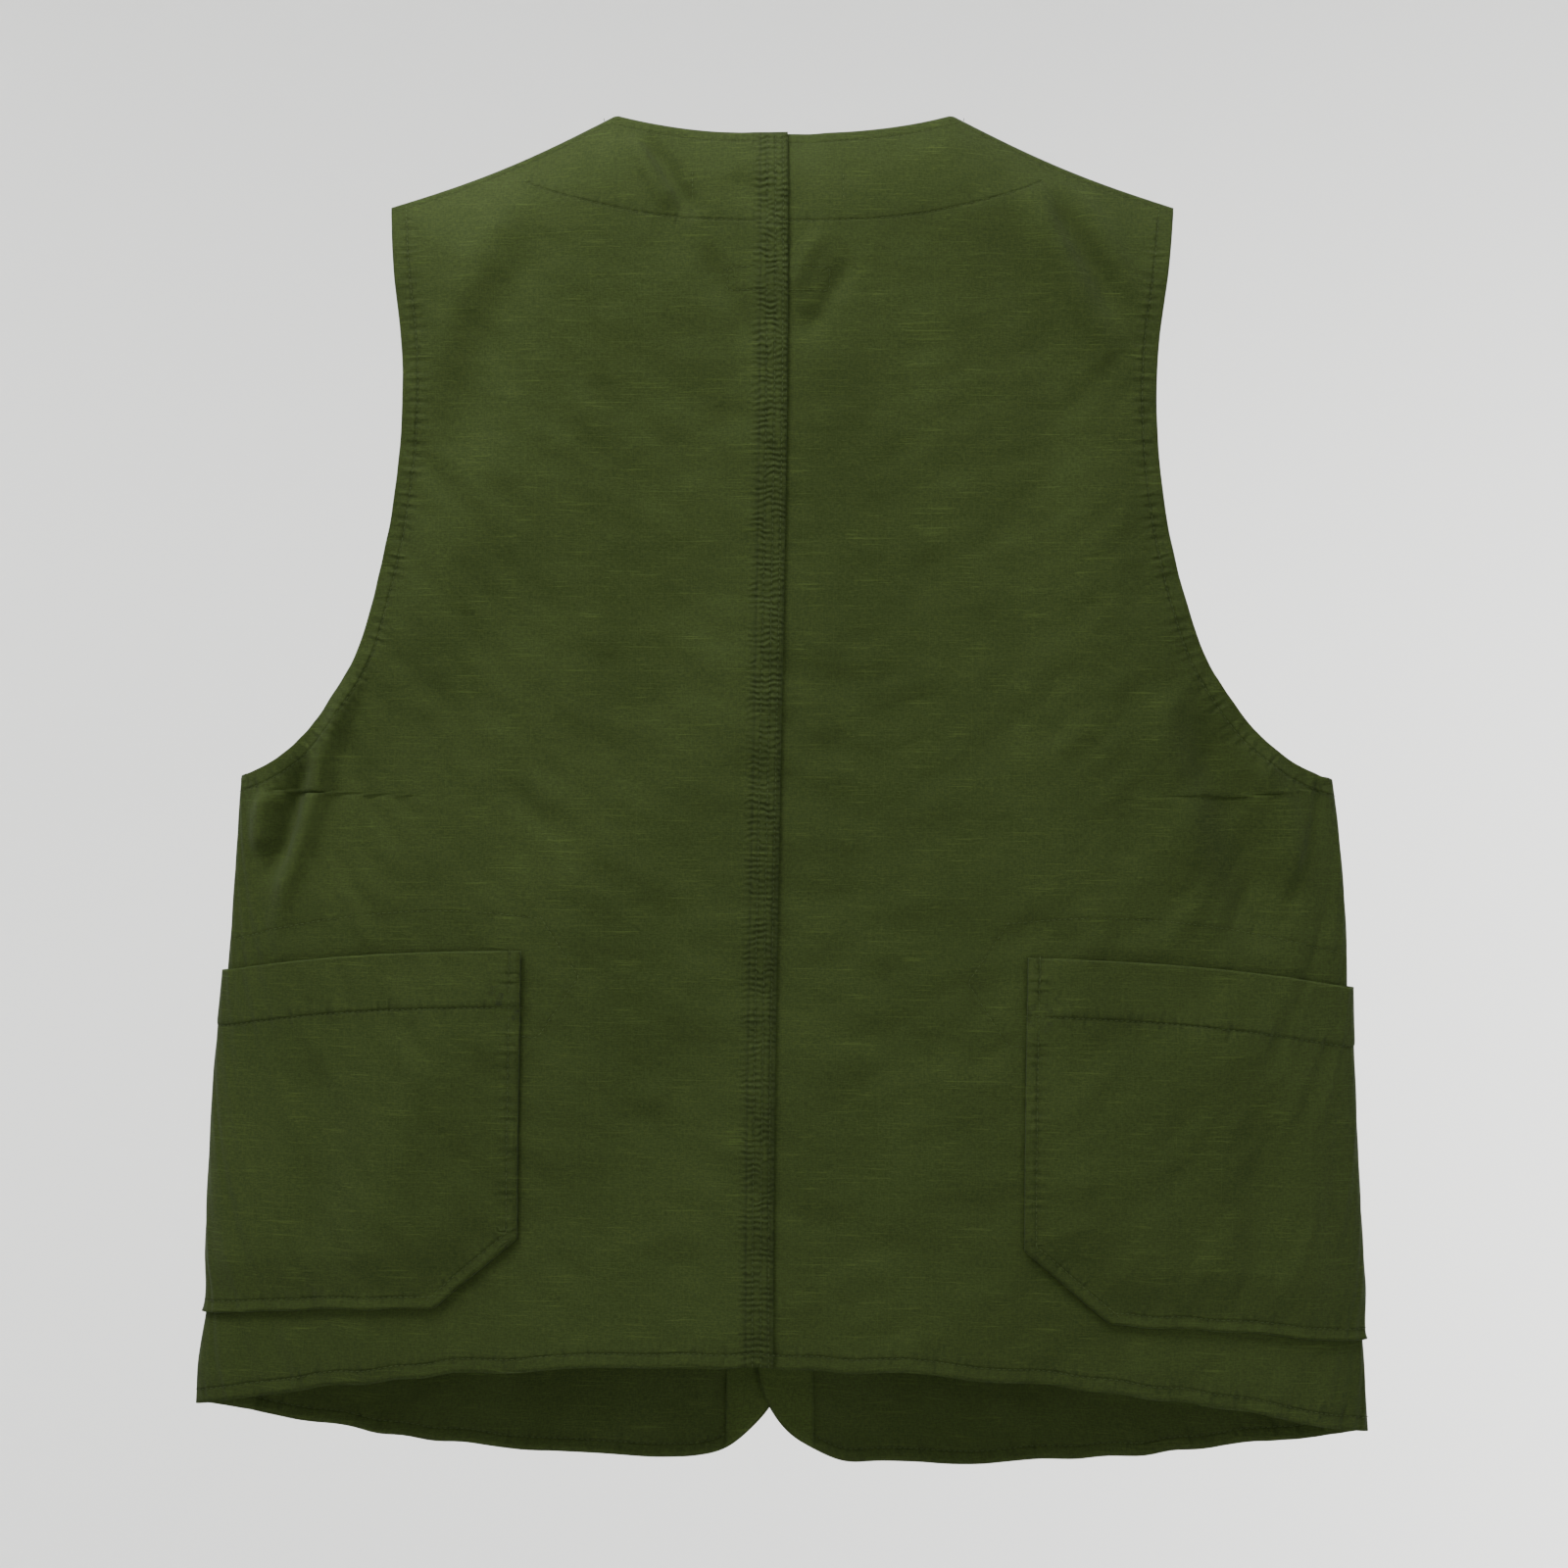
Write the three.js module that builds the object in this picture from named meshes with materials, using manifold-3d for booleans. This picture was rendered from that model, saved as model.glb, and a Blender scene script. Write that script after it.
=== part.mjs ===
// Fishing vest hanging at rest: lengths in mm, +Z up, the wearer's front faces -Y, the wearer's left is +X.
// The origin is the hanger seat: on the centre plane, just under the cloth of the two shoulder seams.
import * as THREE from 'three';
import { mergeVertices } from 'three/addons/utils/BufferGeometryUtils.js';
import Module from 'manifold-3d';

const wasm = await Module();
wasm.setup();

// ---------- driving sizes ----------
const BACK_LENGTH = 634; // centre back, neck edge to hem
const CHEST_WIDTH = 562; // side seam to side seam at the foot of the armholes
const HEM_WIDTH = 600; // side seam to side seam at the hem
const SHOULDER_WIDTH = 406; // shoulder tip to shoulder tip
const NECK_WIDTH = 174; // neck point to neck point
const DEPTH_AT_NECK = 44; // front cloth to back cloth, as it hangs
const DEPTH_AT_HEM = 66;

// ---------- heights that follow from them ----------
const SEAT_TO_NECK_POINT = 3;
const BACK_NECK_DROP = 11; // neck point down to the centre back neck edge
const SHOULDER_DROP = 48; // neck point down to the shoulder tip
const ARMHOLE_DROP = 344; // neck point down to the foot of the armhole
const SIDE_HEM_DROP = 31; // centre back hem down to the hem at the side seam
const FRONT_HEM_DROP = 60; // centre back hem down to the lowest front hem
const NECK_Z = SEAT_TO_NECK_POINT;
const BACK_NECK_Z = NECK_Z - BACK_NECK_DROP;
const TIP_Z = NECK_Z - SHOULDER_DROP;
const FOOT_Z = NECK_Z - ARMHOLE_DROP;
const BACK_HEM_Z = BACK_NECK_Z - BACK_LENGTH;
const SIDE_HEM_Z = BACK_HEM_Z - SIDE_HEM_DROP;
const FRONT_HEM_Z = BACK_HEM_Z - FRONT_HEM_DROP;
const HALF_CHEST = CHEST_WIDTH / 2;
const HALF_HEM = HEM_WIDTH / 2;
const TIP_X = SHOULDER_WIDTH / 2;
const NECK_X = NECK_WIDTH / 2;

// ---------- cloth and clearances ----------
const CLOTH = 1.2; // one layer, with the fullness it hangs with
const THIN_CLOTH = 0.8; // facings, bands, labels
const GAP = 0.4; // between two layers sewn together
const LAYER = CLOTH + GAP; // middle of one cloth to the middle of the next
const LINING_LAYER = CLOTH / 2 + 2 * GAP + THIN_CLOTH / 2;
const SEAM_EASE = 0.05;
const SEAM_HALF = CLOTH / 2 + SEAM_EASE; // shoulder seam, from the centre plane to the middle of the cloth
const SIDE_SEAM_HALF = 0.22; // side seam, from the centre plane to the cloth's edge
const SHOULDER_ROLL = 70; // depth of cloth that rolls over the hanger

// ---------- fronts ----------
const LAP = 20; // each front's edge beyond the centre line
const NECK_TO_TOP_CORNER = 217; // neck point down to the top corner of the front edge
const FOLD_TOP_X = 66; // line on which a front folds open: at the neck edge
const FOLD_TOP_DROP = 77;
const FOLD_HEM_X = 117; // and at the hem
const FOLD_GAP = 0.5;
const CUTAWAY_RADIUS = 56; // rounded lower front corner
const CUTAWAY_X = 8; // front edge beyond the centre line where the corner begins
const LAP_SPREAD_X = 58; // the lapped cloths part from each other inside this distance
const FOLD_TOP_Z = NECK_Z - FOLD_TOP_DROP;
const TOP_CORNER_Z = NECK_Z - NECK_TO_TOP_CORNER;

// ---------- buttons ----------
const BUTTON_D = 15;
const BUTTON_H = 3;
const BUTTON_PITCH = 86;
const BUTTON_COUNT = 4;
const FIRST_BUTTON_DROP = 18; // below the top corner of the front edge
const BUTTONHOLE_EASE = 2; // radial, the hole as stretched while its button passes
const HOLE_REACH = 14; // the cutting tool's reach each way off the cloth
const SHANK_D = 3;
const BUTTON_EYE_D = 1.8;
const BUTTON_EYE_SPACING = 3.6;
const FLAP_BUTTON_D = 13;

// ---------- lower pockets, wrapped round the side seams ----------
const POCKET_INNER_X = 129; // upright edge on the back
const POCKET_FRONT_X = 150; // upright edge on the front
const POCKET_TOP_Z = -431;
const POCKET_TOP_SLOPE = 15; // lower at the side seam
const POCKET_CHAMFER_Z = -579;
const POCKET_CHAMFER_X = 43;
const POCKET_BOTTOM_Z = -616;
const POCKET_BOTTOM_SLOPE = 12;
const POCKET_FULLNESS = 7.4;

// ---------- chest pockets and flaps ----------
const CHEST_POCKET_X = 114; // edge nearer the centre
const CHEST_POCKET_WIDTH = 96;
const CHEST_POCKET_TOP_DROP = 303; // below the neck point
const CHEST_POCKET_HEIGHT = 108;
const CHEST_POCKET_FULLNESS = 6.4;
const FLAP_HEIGHT = 52;
const FLAP_OVERHANG = 3; // wider than the pocket, each side
const FLAP_ABOVE = 18; // hinge line above the pocket's mouth
const FLAP_BUTTON_DOWN = 36; // below the hinge line
const FLAP_CORNER = 12; // cut corners

// ---------- inside pieces ----------
const NECK_FACING_DEPTH = 48;
const NECK_FACING_X = 135; // where the facing meets the shoulder
const FRONT_FACING_WIDTH = 44;
const ARMHOLE_FACING_WIDTH = 22;
const EDGE_INSET = 1.2;
const ROLL_EASE = 0.8;
const BAND_POINT_X = 99;
const BAND_INNER_X = 119;
const BAND_TOP_Z = -412;
const BAND_HEIGHT = 62;
const BAND_SIDE_DROP = 7;
const CENTRE_LAP = 12; // the right back cloth runs under the left one
const CENTRE_EDGE_X = 2; // folded edge of the left back cloth beyond the centre line
const CENTRE_FADE = HALF_HEM / 10; // the felled seam's thickness fades out over one column of the back
const CENTRE_FLAT = CENTRE_LAP + CENTRE_FADE; // and is whole inside this distance

const lerp = THREE.MathUtils.lerp;
const clamp = THREE.MathUtils.clamp;
const smooth = (t) => THREE.MathUtils.smoothstep(t, 0, 1);
const steps = (count) => Array.from({ length: count + 1 }, (_, k) => k / count);

// ---------- the hanging body's surface ----------
// It is a flattened tube: angle 0 is the centre back, 90 degrees the side seam, 180 degrees the centre front.
function halfWidth(z) {
  const down = (FOOT_Z - z) / (FOOT_Z - SIDE_HEM_Z);
  return z > FOOT_Z ? HALF_CHEST : lerp(HALF_CHEST, HALF_HEM, down);
}

function halfDepth(z) {
  return lerp(DEPTH_AT_NECK, DEPTH_AT_HEM, (NECK_Z - z) / (NECK_Z - BACK_HEM_Z)) / 2;
}

function shoulderZ(x) {
  const along = Math.max(0, Math.abs(x) - NECK_X) / (TIP_X - NECK_X);
  return NECK_Z - SHOULDER_DROP * along;
}

function shoulderRoll(x, z) {
  const down = clamp((shoulderZ(x) - z) / SHOULDER_ROLL, 0, 1);
  return 1 - (1 - down) ** 3;
}

function middle(angle, z) {
  const x = halfWidth(z) * Math.sin(angle);
  const roll = shoulderRoll(x, z);
  const seam = Math.sign(Math.cos(angle)) * SEAM_HALF * (1 - roll);
  return new THREE.Vector3(x, seam + halfDepth(z) * Math.cos(angle) * roll, z);
}

function outward(angle, z) {
  const step = 1e-3;
  const x = halfWidth(z) * Math.sin(angle);
  const low = Math.min(z, shoulderZ(x) - 4);
  const across = middle(angle + step, low).sub(middle(angle - step, low));
  const up = middle(angle, low).sub(middle(angle, low - 1));
  return up.cross(across).normalize();
}

// The angle of a place named by its distance from the centre line.
const SIDE_ANGLE = (z) => Math.PI / 2 - Math.asin(SIDE_SEAM_HALF / halfDepth(z));
const backAngle = (x, z) => Math.min(Math.asin(clamp(x / halfWidth(z), -1, 1)), SIDE_ANGLE(z));
const frontAngle = (x, z) => Math.PI - backAngle(x, z);
const onBack = (x, z) => [backAngle(x, z), z];
const onFront = (x, z) => [frontAngle(x, z), z];

// ---------- building blocks ----------
// A patch between four boundary lines, each a function of 0..1 that gives [angle, z].
function patch(bottom, top, inner, outer) {
  const [a, b, c, d] = [bottom(0), bottom(1), top(0), top(1)];
  return (u, v) => {
    const [lo, hi, near, far] = [bottom(u), top(u), inner(v), outer(v)];
    return [0, 1].map((k) => (1 - v) * lo[k] + v * hi[k] + (1 - u) * near[k] + u * far[k]
      - (1 - u) * (1 - v) * a[k] - u * (1 - v) * b[k] - (1 - u) * v * c[k] - u * v * d[k]);
  };
}

// A closed solid between two grids of points: face(u, v, +1) is its outer skin and face(u, v, -1) its inner one.
function skinSolid(columns, rows, face) {
  const [wide, high] = [columns.length, rows.length];
  const points = [1, -1].flatMap((way) => rows.flatMap((v) => columns.map((u) => face(u, v, way))));
  const at = (i, j, skin) => skin * wide * high + j * wide + i;
  const index = [];
  const quad = (a, b, c, d) => index.push(a, b, c, a, c, d);
  for (let j = 0; j < high - 1; j += 1) {
    for (let i = 0; i < wide - 1; i += 1) {
      quad(at(i, j, 0), at(i + 1, j, 0), at(i + 1, j + 1, 0), at(i, j + 1, 0));
      quad(at(i, j, 1), at(i, j + 1, 1), at(i + 1, j + 1, 1), at(i + 1, j, 1));
    }
  }
  for (let i = 0; i < wide - 1; i += 1) {
    quad(at(i, 0, 1), at(i + 1, 0, 1), at(i + 1, 0, 0), at(i, 0, 0));
    quad(at(i, high - 1, 0), at(i + 1, high - 1, 0), at(i + 1, high - 1, 1), at(i, high - 1, 1));
  }
  for (let j = 0; j < high - 1; j += 1) {
    quad(at(0, j, 0), at(0, j + 1, 0), at(0, j + 1, 1), at(0, j, 1));
    quad(at(wide - 1, j, 1), at(wide - 1, j + 1, 1), at(wide - 1, j + 1, 0), at(wide - 1, j, 0));
  }
  const volume = index.reduce((sum, _, k) => (k % 3 ? sum
    : sum + points[index[k]].dot(points[index[k + 1]].clone().cross(points[index[k + 2]]))), 0);
  if (volume < 0) index.reverse();
  const geometry = new THREE.BufferGeometry().setFromPoints(points);
  geometry.setIndex(index);
  return geometry;
}

// Cloth that follows the body: lift(u, v, x, z) is how far its middle stands off the body cloth's middle.
function cloth(side, columns, rows, place, lift = () => 0, thickness = CLOTH) {
  return skinSolid(columns, rows, (u, v, way) => {
    const [angle, z] = place(u, v);
    const x = halfWidth(z) * Math.sin(angle);
    const off = lift(u, v, x, z) + way * thickness / 2;
    const point = middle(angle, z).addScaledVector(outward(angle, z), off);
    point.x *= side;
    return point;
  });
}

function toSolid(geometry) {
  const plain = geometry.clone();
  plain.deleteAttribute('normal');
  plain.deleteAttribute('uv');
  const merged = mergeVertices(plain, 1e-4);
  return new wasm.Manifold(new wasm.Mesh({
    numProp: 3,
    vertProperties: new Float32Array(merged.attributes.position.array),
    triVerts: new Uint32Array(merged.index.array),
  }));
}

function fromSolid(solid) {
  const mesh = solid.getMesh();
  const geometry = new THREE.BufferGeometry();
  geometry.setAttribute('position', new THREE.BufferAttribute(new Float32Array(mesh.vertProperties), 3));
  geometry.setIndex(new THREE.BufferAttribute(new Uint32Array(mesh.triVerts), 1));
  return geometry;
}

// ---------- outlines ----------
// The armhole from its foot to the shoulder tip; each point is a share of the scoop's width and height.
const ARMHOLE_SHAPE = [[0, 0], [0.23, 0.03], [0.57, 0.134], [0.82, 0.302], [1, 0.69]];
const ARMHOLE_SCOOP = 85.5; // narrowest point of the armhole inside the foot
const armhole = new THREE.CatmullRomCurve3([
  ...ARMHOLE_SHAPE.map(([across, up]) => new THREE.Vector3(
    HALF_CHEST - ARMHOLE_SCOOP * across, 0, lerp(FOOT_Z, TIP_Z, up))),
  new THREE.Vector3(TIP_X, 0, TIP_Z),
], false, 'centripetal');

// The front neck edge from the neck point to the top corner of the front edge; the fold line starts at its third point.
const FRONT_NECK_FOLD = 0.4;
const frontNeck = new THREE.CatmullRomCurve3([
  new THREE.Vector3(NECK_X, 0, NECK_Z),
  new THREE.Vector3(NECK_X - 7, 0, NECK_Z - 34),
  new THREE.Vector3(FOLD_TOP_X, 0, FOLD_TOP_Z),
  new THREE.Vector3(FOLD_TOP_X - 26, 0, FOLD_TOP_Z - 54),
  new THREE.Vector3(FOLD_TOP_X - 56, 0, FOLD_TOP_Z - 102),
  new THREE.Vector3(-LAP, 0, TOP_CORNER_Z),
]);

function backNeckZ(x) {
  return NECK_Z - BACK_NECK_DROP * (1 - Math.min(1, Math.abs(x) / NECK_X) ** 2.5);
}

function backTopZ(x) {
  return Math.abs(x) < NECK_X ? backNeckZ(x) : shoulderZ(x);
}

function backHemZ(x) {
  return BACK_HEM_Z - SIDE_HEM_DROP * (Math.abs(x) / HALF_HEM) ** 2.2;
}

function frontHemZ(x) {
  const out = Math.max(0, x - CUTAWAY_RADIUS) / (HALF_HEM - CUTAWAY_RADIUS);
  return lerp(FRONT_HEM_Z, SIDE_HEM_Z, out ** 2);
}

const FOLD_HEM_Z = frontHemZ(FOLD_HEM_X);

function foldX(z) {
  return lerp(FOLD_TOP_X, FOLD_HEM_X, (FOLD_TOP_Z - z) / (FOLD_TOP_Z - FOLD_HEM_Z));
}

// Rows of a body panel: the share below the armhole's foot, then the share beside the armhole.
const FOOT_ROW = 0.5;
const SIDE_ROWS = steps(7).map((t) => t * FOOT_ROW);
const ARM_ROWS = steps(20).slice(1).map((t) => lerp(FOOT_ROW, 1, (1 - Math.cos(Math.PI * t)) / 2));
const BODY_ROWS = [...SIDE_ROWS, ...ARM_ROWS];

function outerEdge(v) {
  if (v <= FOOT_ROW) {
    const z = lerp(SIDE_HEM_Z, FOOT_Z, v / FOOT_ROW);
    return [halfWidth(z), z];
  }
  const point = armhole.getPointAt((v - FOOT_ROW) / (1 - FOOT_ROW));
  return [point.x, point.z];
}

// ---------- back ----------
const nearCentre = (x) => smooth((CENTRE_FLAT + CENTRE_FADE - Math.abs(x)) / CENTRE_FADE);

function centreLift(side, x) {
  return side * LAYER / 2 * nearCentre(x);
}

function backPanel(side) {
  const edgeX = side > 0 ? -CENTRE_EDGE_X : CENTRE_EDGE_X - CENTRE_LAP;
  const hemAngle = SIDE_ANGLE(SIDE_HEM_Z);
  const bottom = (u) => {
    const angle = lerp(backAngle(edgeX, BACK_HEM_Z), hemAngle, u);
    return [angle, backHemZ(HALF_HEM * Math.sin(angle))];
  };
  const tipAngle = backAngle(TIP_X, TIP_Z);
  const top = (u) => {
    const angle = lerp(backAngle(edgeX, BACK_NECK_Z), tipAngle, u);
    return [angle, backTopZ(HALF_CHEST * Math.sin(angle))];
  };
  const inner = (v) => onBack(edgeX, lerp(bottom(0)[1], top(0)[1], v));
  const outer = (v) => onBack(...outerEdge(v));
  const neckColumn = (backAngle(NECK_X, NECK_Z) - backAngle(edgeX, BACK_NECK_Z))
    / (tipAngle - backAngle(edgeX, BACK_NECK_Z));
  const columns = [...steps(6).map((t) => t * neckColumn),
    ...steps(6).slice(1).map((t) => lerp(neckColumn, 1, t))];
  return cloth(side, columns, BODY_ROWS, patch(bottom, top, inner, outer), (u, v, x) => centreLift(side, x));
}

// ---------- front: the share that stays, and the share that folds open ----------
function frontSide(side) {
  const foldEdge = (z) => foldX(z) + FOLD_GAP / 2;
  const topStart = frontNeck.getPoint(FRONT_NECK_FOLD);
  const neckColumn = 0.38;
  const top = (u) => {
    if (u < neckColumn) {
      const point = frontNeck.getPoint(FRONT_NECK_FOLD * (1 - u / neckColumn));
      return onFront(point.x + FOLD_GAP / 2 * (1 - u / neckColumn), point.z);
    }
    const angle = lerp(frontAngle(NECK_X, NECK_Z), frontAngle(TIP_X, TIP_Z), (u - neckColumn) / (1 - neckColumn));
    return [angle, shoulderZ(HALF_CHEST * Math.sin(angle))];
  };
  const startAngle = frontAngle(foldEdge(FOLD_HEM_Z), FOLD_HEM_Z);
  const bottom = (u) => {
    const angle = lerp(startAngle, Math.PI - SIDE_ANGLE(SIDE_HEM_Z), u);
    return [angle, frontHemZ(HALF_HEM * Math.sin(angle))];
  };
  const startZ = bottom(0)[1];
  const inner = (v) => {
    const z = lerp(startZ, topStart.z, v);
    return onFront(foldEdge(z), z);
  };
  const outer = (v) => onFront(...outerEdge(v));
  const columns = [...steps(3).map((t) => t * neckColumn),
    ...steps(6).slice(1).map((t) => lerp(neckColumn, 1, t))];
  return cloth(side, columns, BODY_ROWS, patch(bottom, top, inner, outer));
}

// The left front laps over the right one, so near the centre they stand one layer apart.
function lapLift(side, x) {
  return side * LAYER * smooth((LAP_SPREAD_X - x) / (LAP_SPREAD_X - LAP));
}

// Outline of a front's folding share, from the fold line (u = 0) to the front edge (u = 1).
function openingPatch(inset, width) {
  const foldEdge = (z) => foldX(z) - FOLD_GAP / 2;
  const cornerShare = 0.5;
  const hemX = CUTAWAY_RADIUS - CUTAWAY_X;
  const bottom = (u) => {
    if (u < cornerShare) {
      const x = lerp(foldEdge(FOLD_HEM_Z), hemX, u / cornerShare);
      return onFront(x, frontHemZ(x) + inset);
    }
    const turn = (u - cornerShare) / (1 - cornerShare) * Math.PI / 2;
    const radius = CUTAWAY_RADIUS - inset;
    return onFront(hemX - radius * Math.sin(turn), FRONT_HEM_Z + CUTAWAY_RADIUS - radius * Math.cos(turn));
  };
  const top = (u) => {
    const point = frontNeck.getPoint(lerp(FRONT_NECK_FOLD, 1, u));
    return onFront(point.x - lerp(FOLD_GAP / 2, -inset, u), point.z - inset);
  };
  const [lowZ, highZ] = [bottom(1)[1], top(1)[1]];
  const inner = (v) => {
    const z = lerp(bottom(0)[1], top(0)[1], v);
    return onFront(foldEdge(z), z);
  };
  const outer = (v) => onFront(-lerp(CUTAWAY_X - inset, LAP - inset, smooth(v * 2)), lerp(lowZ, highZ, v));
  const whole = patch(bottom, top, inner, outer);
  return (u, v) => whole(1 - width * (1 - u), v);
}

const OPENING_ROWS = steps(14);
const LAP_COLUMN_COUNT = 8;

function buttonHeights() {
  const spread = BUTTON_PITCH * (BUTTON_COUNT - 1);
  return steps(BUTTON_COUNT - 1).map((t) => TOP_CORNER_Z - FIRST_BUTTON_DROP - t * spread);
}

// A rod along the cloth's outward direction, between two heights off the cloth's middle.
function rodOnCloth(side, angle, z, low, high, diameter, sides) {
  const rod = new THREE.CylinderGeometry(diameter / 2, diameter / 2, high - low, sides);
  return rod.applyMatrix4(frameOnCloth(side, angle, z, (low + high) / 2));
}

// A frame on the cloth whose +Y points outward.
function frameOnCloth(side, angle, z, off) {
  const normal = outward(angle, z);
  const point = middle(angle, z).addScaledVector(normal, off);
  normal.x *= side;
  point.x *= side;
  const turn = new THREE.Quaternion().setFromUnitVectors(new THREE.Vector3(0, 1, 0), normal);
  return new THREE.Matrix4().compose(point, turn, new THREE.Vector3(1, 1, 1));
}

function cutHoles(geometry, side, angle, heights, diameter) {
  const tools = heights.map((z) => toSolid(rodOnCloth(side, angle, z, -HOLE_REACH, HOLE_REACH, diameter, 20)));
  return fromSolid(tools.reduce((solid, tool) => solid.subtract(tool), toSolid(geometry)));
}

function withButtonholes(geometry) {
  return cutHoles(geometry, 1, Math.PI, buttonHeights(), BUTTON_D + 2 * BUTTONHOLE_EASE);
}

function frontOpening(side) {
  const lift = (u, v, x) => lapLift(side, x);
  const geometry = cloth(side, steps(LAP_COLUMN_COUNT), OPENING_ROWS, openingPatch(0, 1), lift);
  return side > 0 ? withButtonholes(geometry) : geometry;
}

function frontFacing(side) {
  const width = FRONT_FACING_WIDTH / (FOLD_HEM_X - FOLD_GAP + CUTAWAY_X);
  const lift = (u, v, x) => lapLift(side, x) - CLOTH / 2 - GAP - THIN_CLOTH / 2 - 0.2;
  const geometry = cloth(side, steps(4), OPENING_ROWS, openingPatch(EDGE_INSET, width), lift, THIN_CLOTH);
  return side > 0 ? withButtonholes(geometry) : geometry;
}

// ---------- buttons with their thread shanks ----------
// A button stands over the outer cloth it fastens; its shank reaches down to the cloth it is sewn to.
function button(side, angle, z, outerLift, diameter) {
  const low = outerLift + CLOTH / 2 + 2 * GAP;
  const disc = toSolid(rodOnCloth(side, angle, z, low, low + BUTTON_H, diameter, 20));
  const frame = frameOnCloth(side, angle, z, low + BUTTON_H / 2);
  const eyes = [[1, 1], [1, -1], [-1, 1], [-1, -1]].map(([across, up]) => {
    const eye = new THREE.CylinderGeometry(BUTTON_EYE_D / 2, BUTTON_EYE_D / 2, 2 * BUTTON_H, 6);
    eye.translate(across * BUTTON_EYE_SPACING / 2, 0, up * BUTTON_EYE_SPACING / 2);
    return toSolid(eye.applyMatrix4(frame));
  });
  return fromSolid(eyes.reduce((solid, eye) => solid.subtract(eye), disc));
}

function shank(side, angle, z, sewnLift, outerLift) {
  const low = sewnLift + CLOTH / 2 + GAP;
  const high = outerLift + CLOTH / 2 + GAP;
  return rodOnCloth(side, angle, z, low, high, SHANK_D, 10);
}

// ---------- lower pockets ----------
function lowerPocket(side) {
  const topZ = (angle) => POCKET_TOP_Z - POCKET_TOP_SLOPE * Math.sin(angle) ** 4;
  const bottomZ = (angle) => POCKET_BOTTOM_Z - POCKET_BOTTOM_SLOPE * Math.sin(angle) ** 3;
  const upright = (v, x, on) => {
    const chamfer = 0.2;
    if (v < chamfer) {
      const t = v / chamfer;
      return on(x + POCKET_CHAMFER_X * (1 - t), lerp(POCKET_BOTTOM_Z, POCKET_CHAMFER_Z, t));
    }
    return on(x, lerp(POCKET_CHAMFER_Z, POCKET_TOP_Z, (v - chamfer) / (1 - chamfer)));
  };
  const inner = (v) => upright(v, POCKET_INNER_X, onBack);
  const outer = (v) => upright(v, POCKET_FRONT_X, onFront);
  const across = (u, from, to) => (u < 0.5 ? lerp(from, Math.PI / 2, u * 2) : lerp(Math.PI / 2, to, u * 2 - 1));
  const edge = (v, height) => (u) => {
    const angle = across(u, inner(v)[0], outer(v)[0]);
    const ends = lerp(inner(v)[1] - height(inner(v)[0]), outer(v)[1] - height(outer(v)[0]), u);
    return [angle, height(angle) + ends];
  };
  const lift = (u, v) => {
    const toSides = smooth(Math.min(u, 1 - u) / 0.08);
    const toBottom = smooth(v / 0.3);
    return LAYER + GAP + POCKET_FULLNESS * toSides * toBottom;
  };
  const rows = [0, 0.1, 0.2, 0.35, 0.52, 0.68, 0.84, 1];
  const half = [0, 0.04, 0.08, 0.14, 0.2, 0.26, 0.32, 0.38, 0.42, 0.46];
  const columns = [...half, 0.5, ...half.map((u) => 1 - u).reverse()];
  return cloth(side, columns, rows, patch(edge(0, bottomZ), edge(1, topZ), inner, outer), lift);
}

// ---------- chest pockets, flaps and their buttons ----------
const CHEST_POCKET_TOP_Z = NECK_Z - CHEST_POCKET_TOP_DROP;

function chestPocket(side) {
  const [near, far] = [CHEST_POCKET_X, CHEST_POCKET_X + CHEST_POCKET_WIDTH];
  const low = CHEST_POCKET_TOP_Z - CHEST_POCKET_HEIGHT;
  const place = (u, v) => onFront(lerp(near, far, u), lerp(low, CHEST_POCKET_TOP_Z, v));
  const lift = (u, v) => LAYER + CHEST_POCKET_FULLNESS * smooth(Math.min(u, 1 - u) / 0.2) * smooth(v / 0.28);
  const rows = [0, 0.09, 0.19, 0.28, 0.5, 0.75, 1];
  const columns = [0, 0.07, 0.14, 0.2, 0.4, 0.6, 0.8, 0.86, 0.93, 1];
  return cloth(side, columns, rows, place, lift);
}

const HINGE_Z = CHEST_POCKET_TOP_Z + FLAP_ABOVE;
const FLAP_REST_LIFT = 2 * LAYER + CHEST_POCKET_FULLNESS;
const FLAP_BUTTON_X = CHEST_POCKET_X + CHEST_POCKET_WIDTH / 2;
const FLAP_BUTTON_Z = HINGE_Z - FLAP_BUTTON_DOWN;
const FLAP_BUTTON_ANGLE = frontAngle(FLAP_BUTTON_X, FLAP_BUTTON_Z);

// The flap leaves the front cloth at its sewn top edge and rests on the pocket below the mouth.
function chestFlap(side) {
  const [near, far] = [CHEST_POCKET_X - FLAP_OVERHANG, CHEST_POCKET_X + CHEST_POCKET_WIDTH + FLAP_OVERHANG];
  const cornerShare = FLAP_CORNER / FLAP_HEIGHT;
  const place = (u, v) => {
    const cut = FLAP_CORNER * Math.max(0, 1 - v / cornerShare);
    return onFront(lerp(near + cut, far - cut, u), HINGE_Z - FLAP_HEIGHT * (1 - v));
  };
  const mouthShare = 1 - FLAP_ABOVE / FLAP_HEIGHT;
  const lift = (u, v) => lerp(LAYER, FLAP_REST_LIFT, clamp((1 - v) / (1 - mouthShare), 0, 1));
  const rows = [0, cornerShare / 2, cornerShare, (cornerShare + mouthShare) / 2, mouthShare, (mouthShare + 1) / 2, 1];
  const flap = cloth(side, steps(8), rows, place, lift);
  return cutHoles(flap, side, FLAP_BUTTON_ANGLE, [FLAP_BUTTON_Z], FLAP_BUTTON_D + 2 * BUTTONHOLE_EASE);
}

function flapButton(side) {
  return button(side, FLAP_BUTTON_ANGLE, FLAP_BUTTON_Z, FLAP_REST_LIFT, FLAP_BUTTON_D);
}

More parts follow.
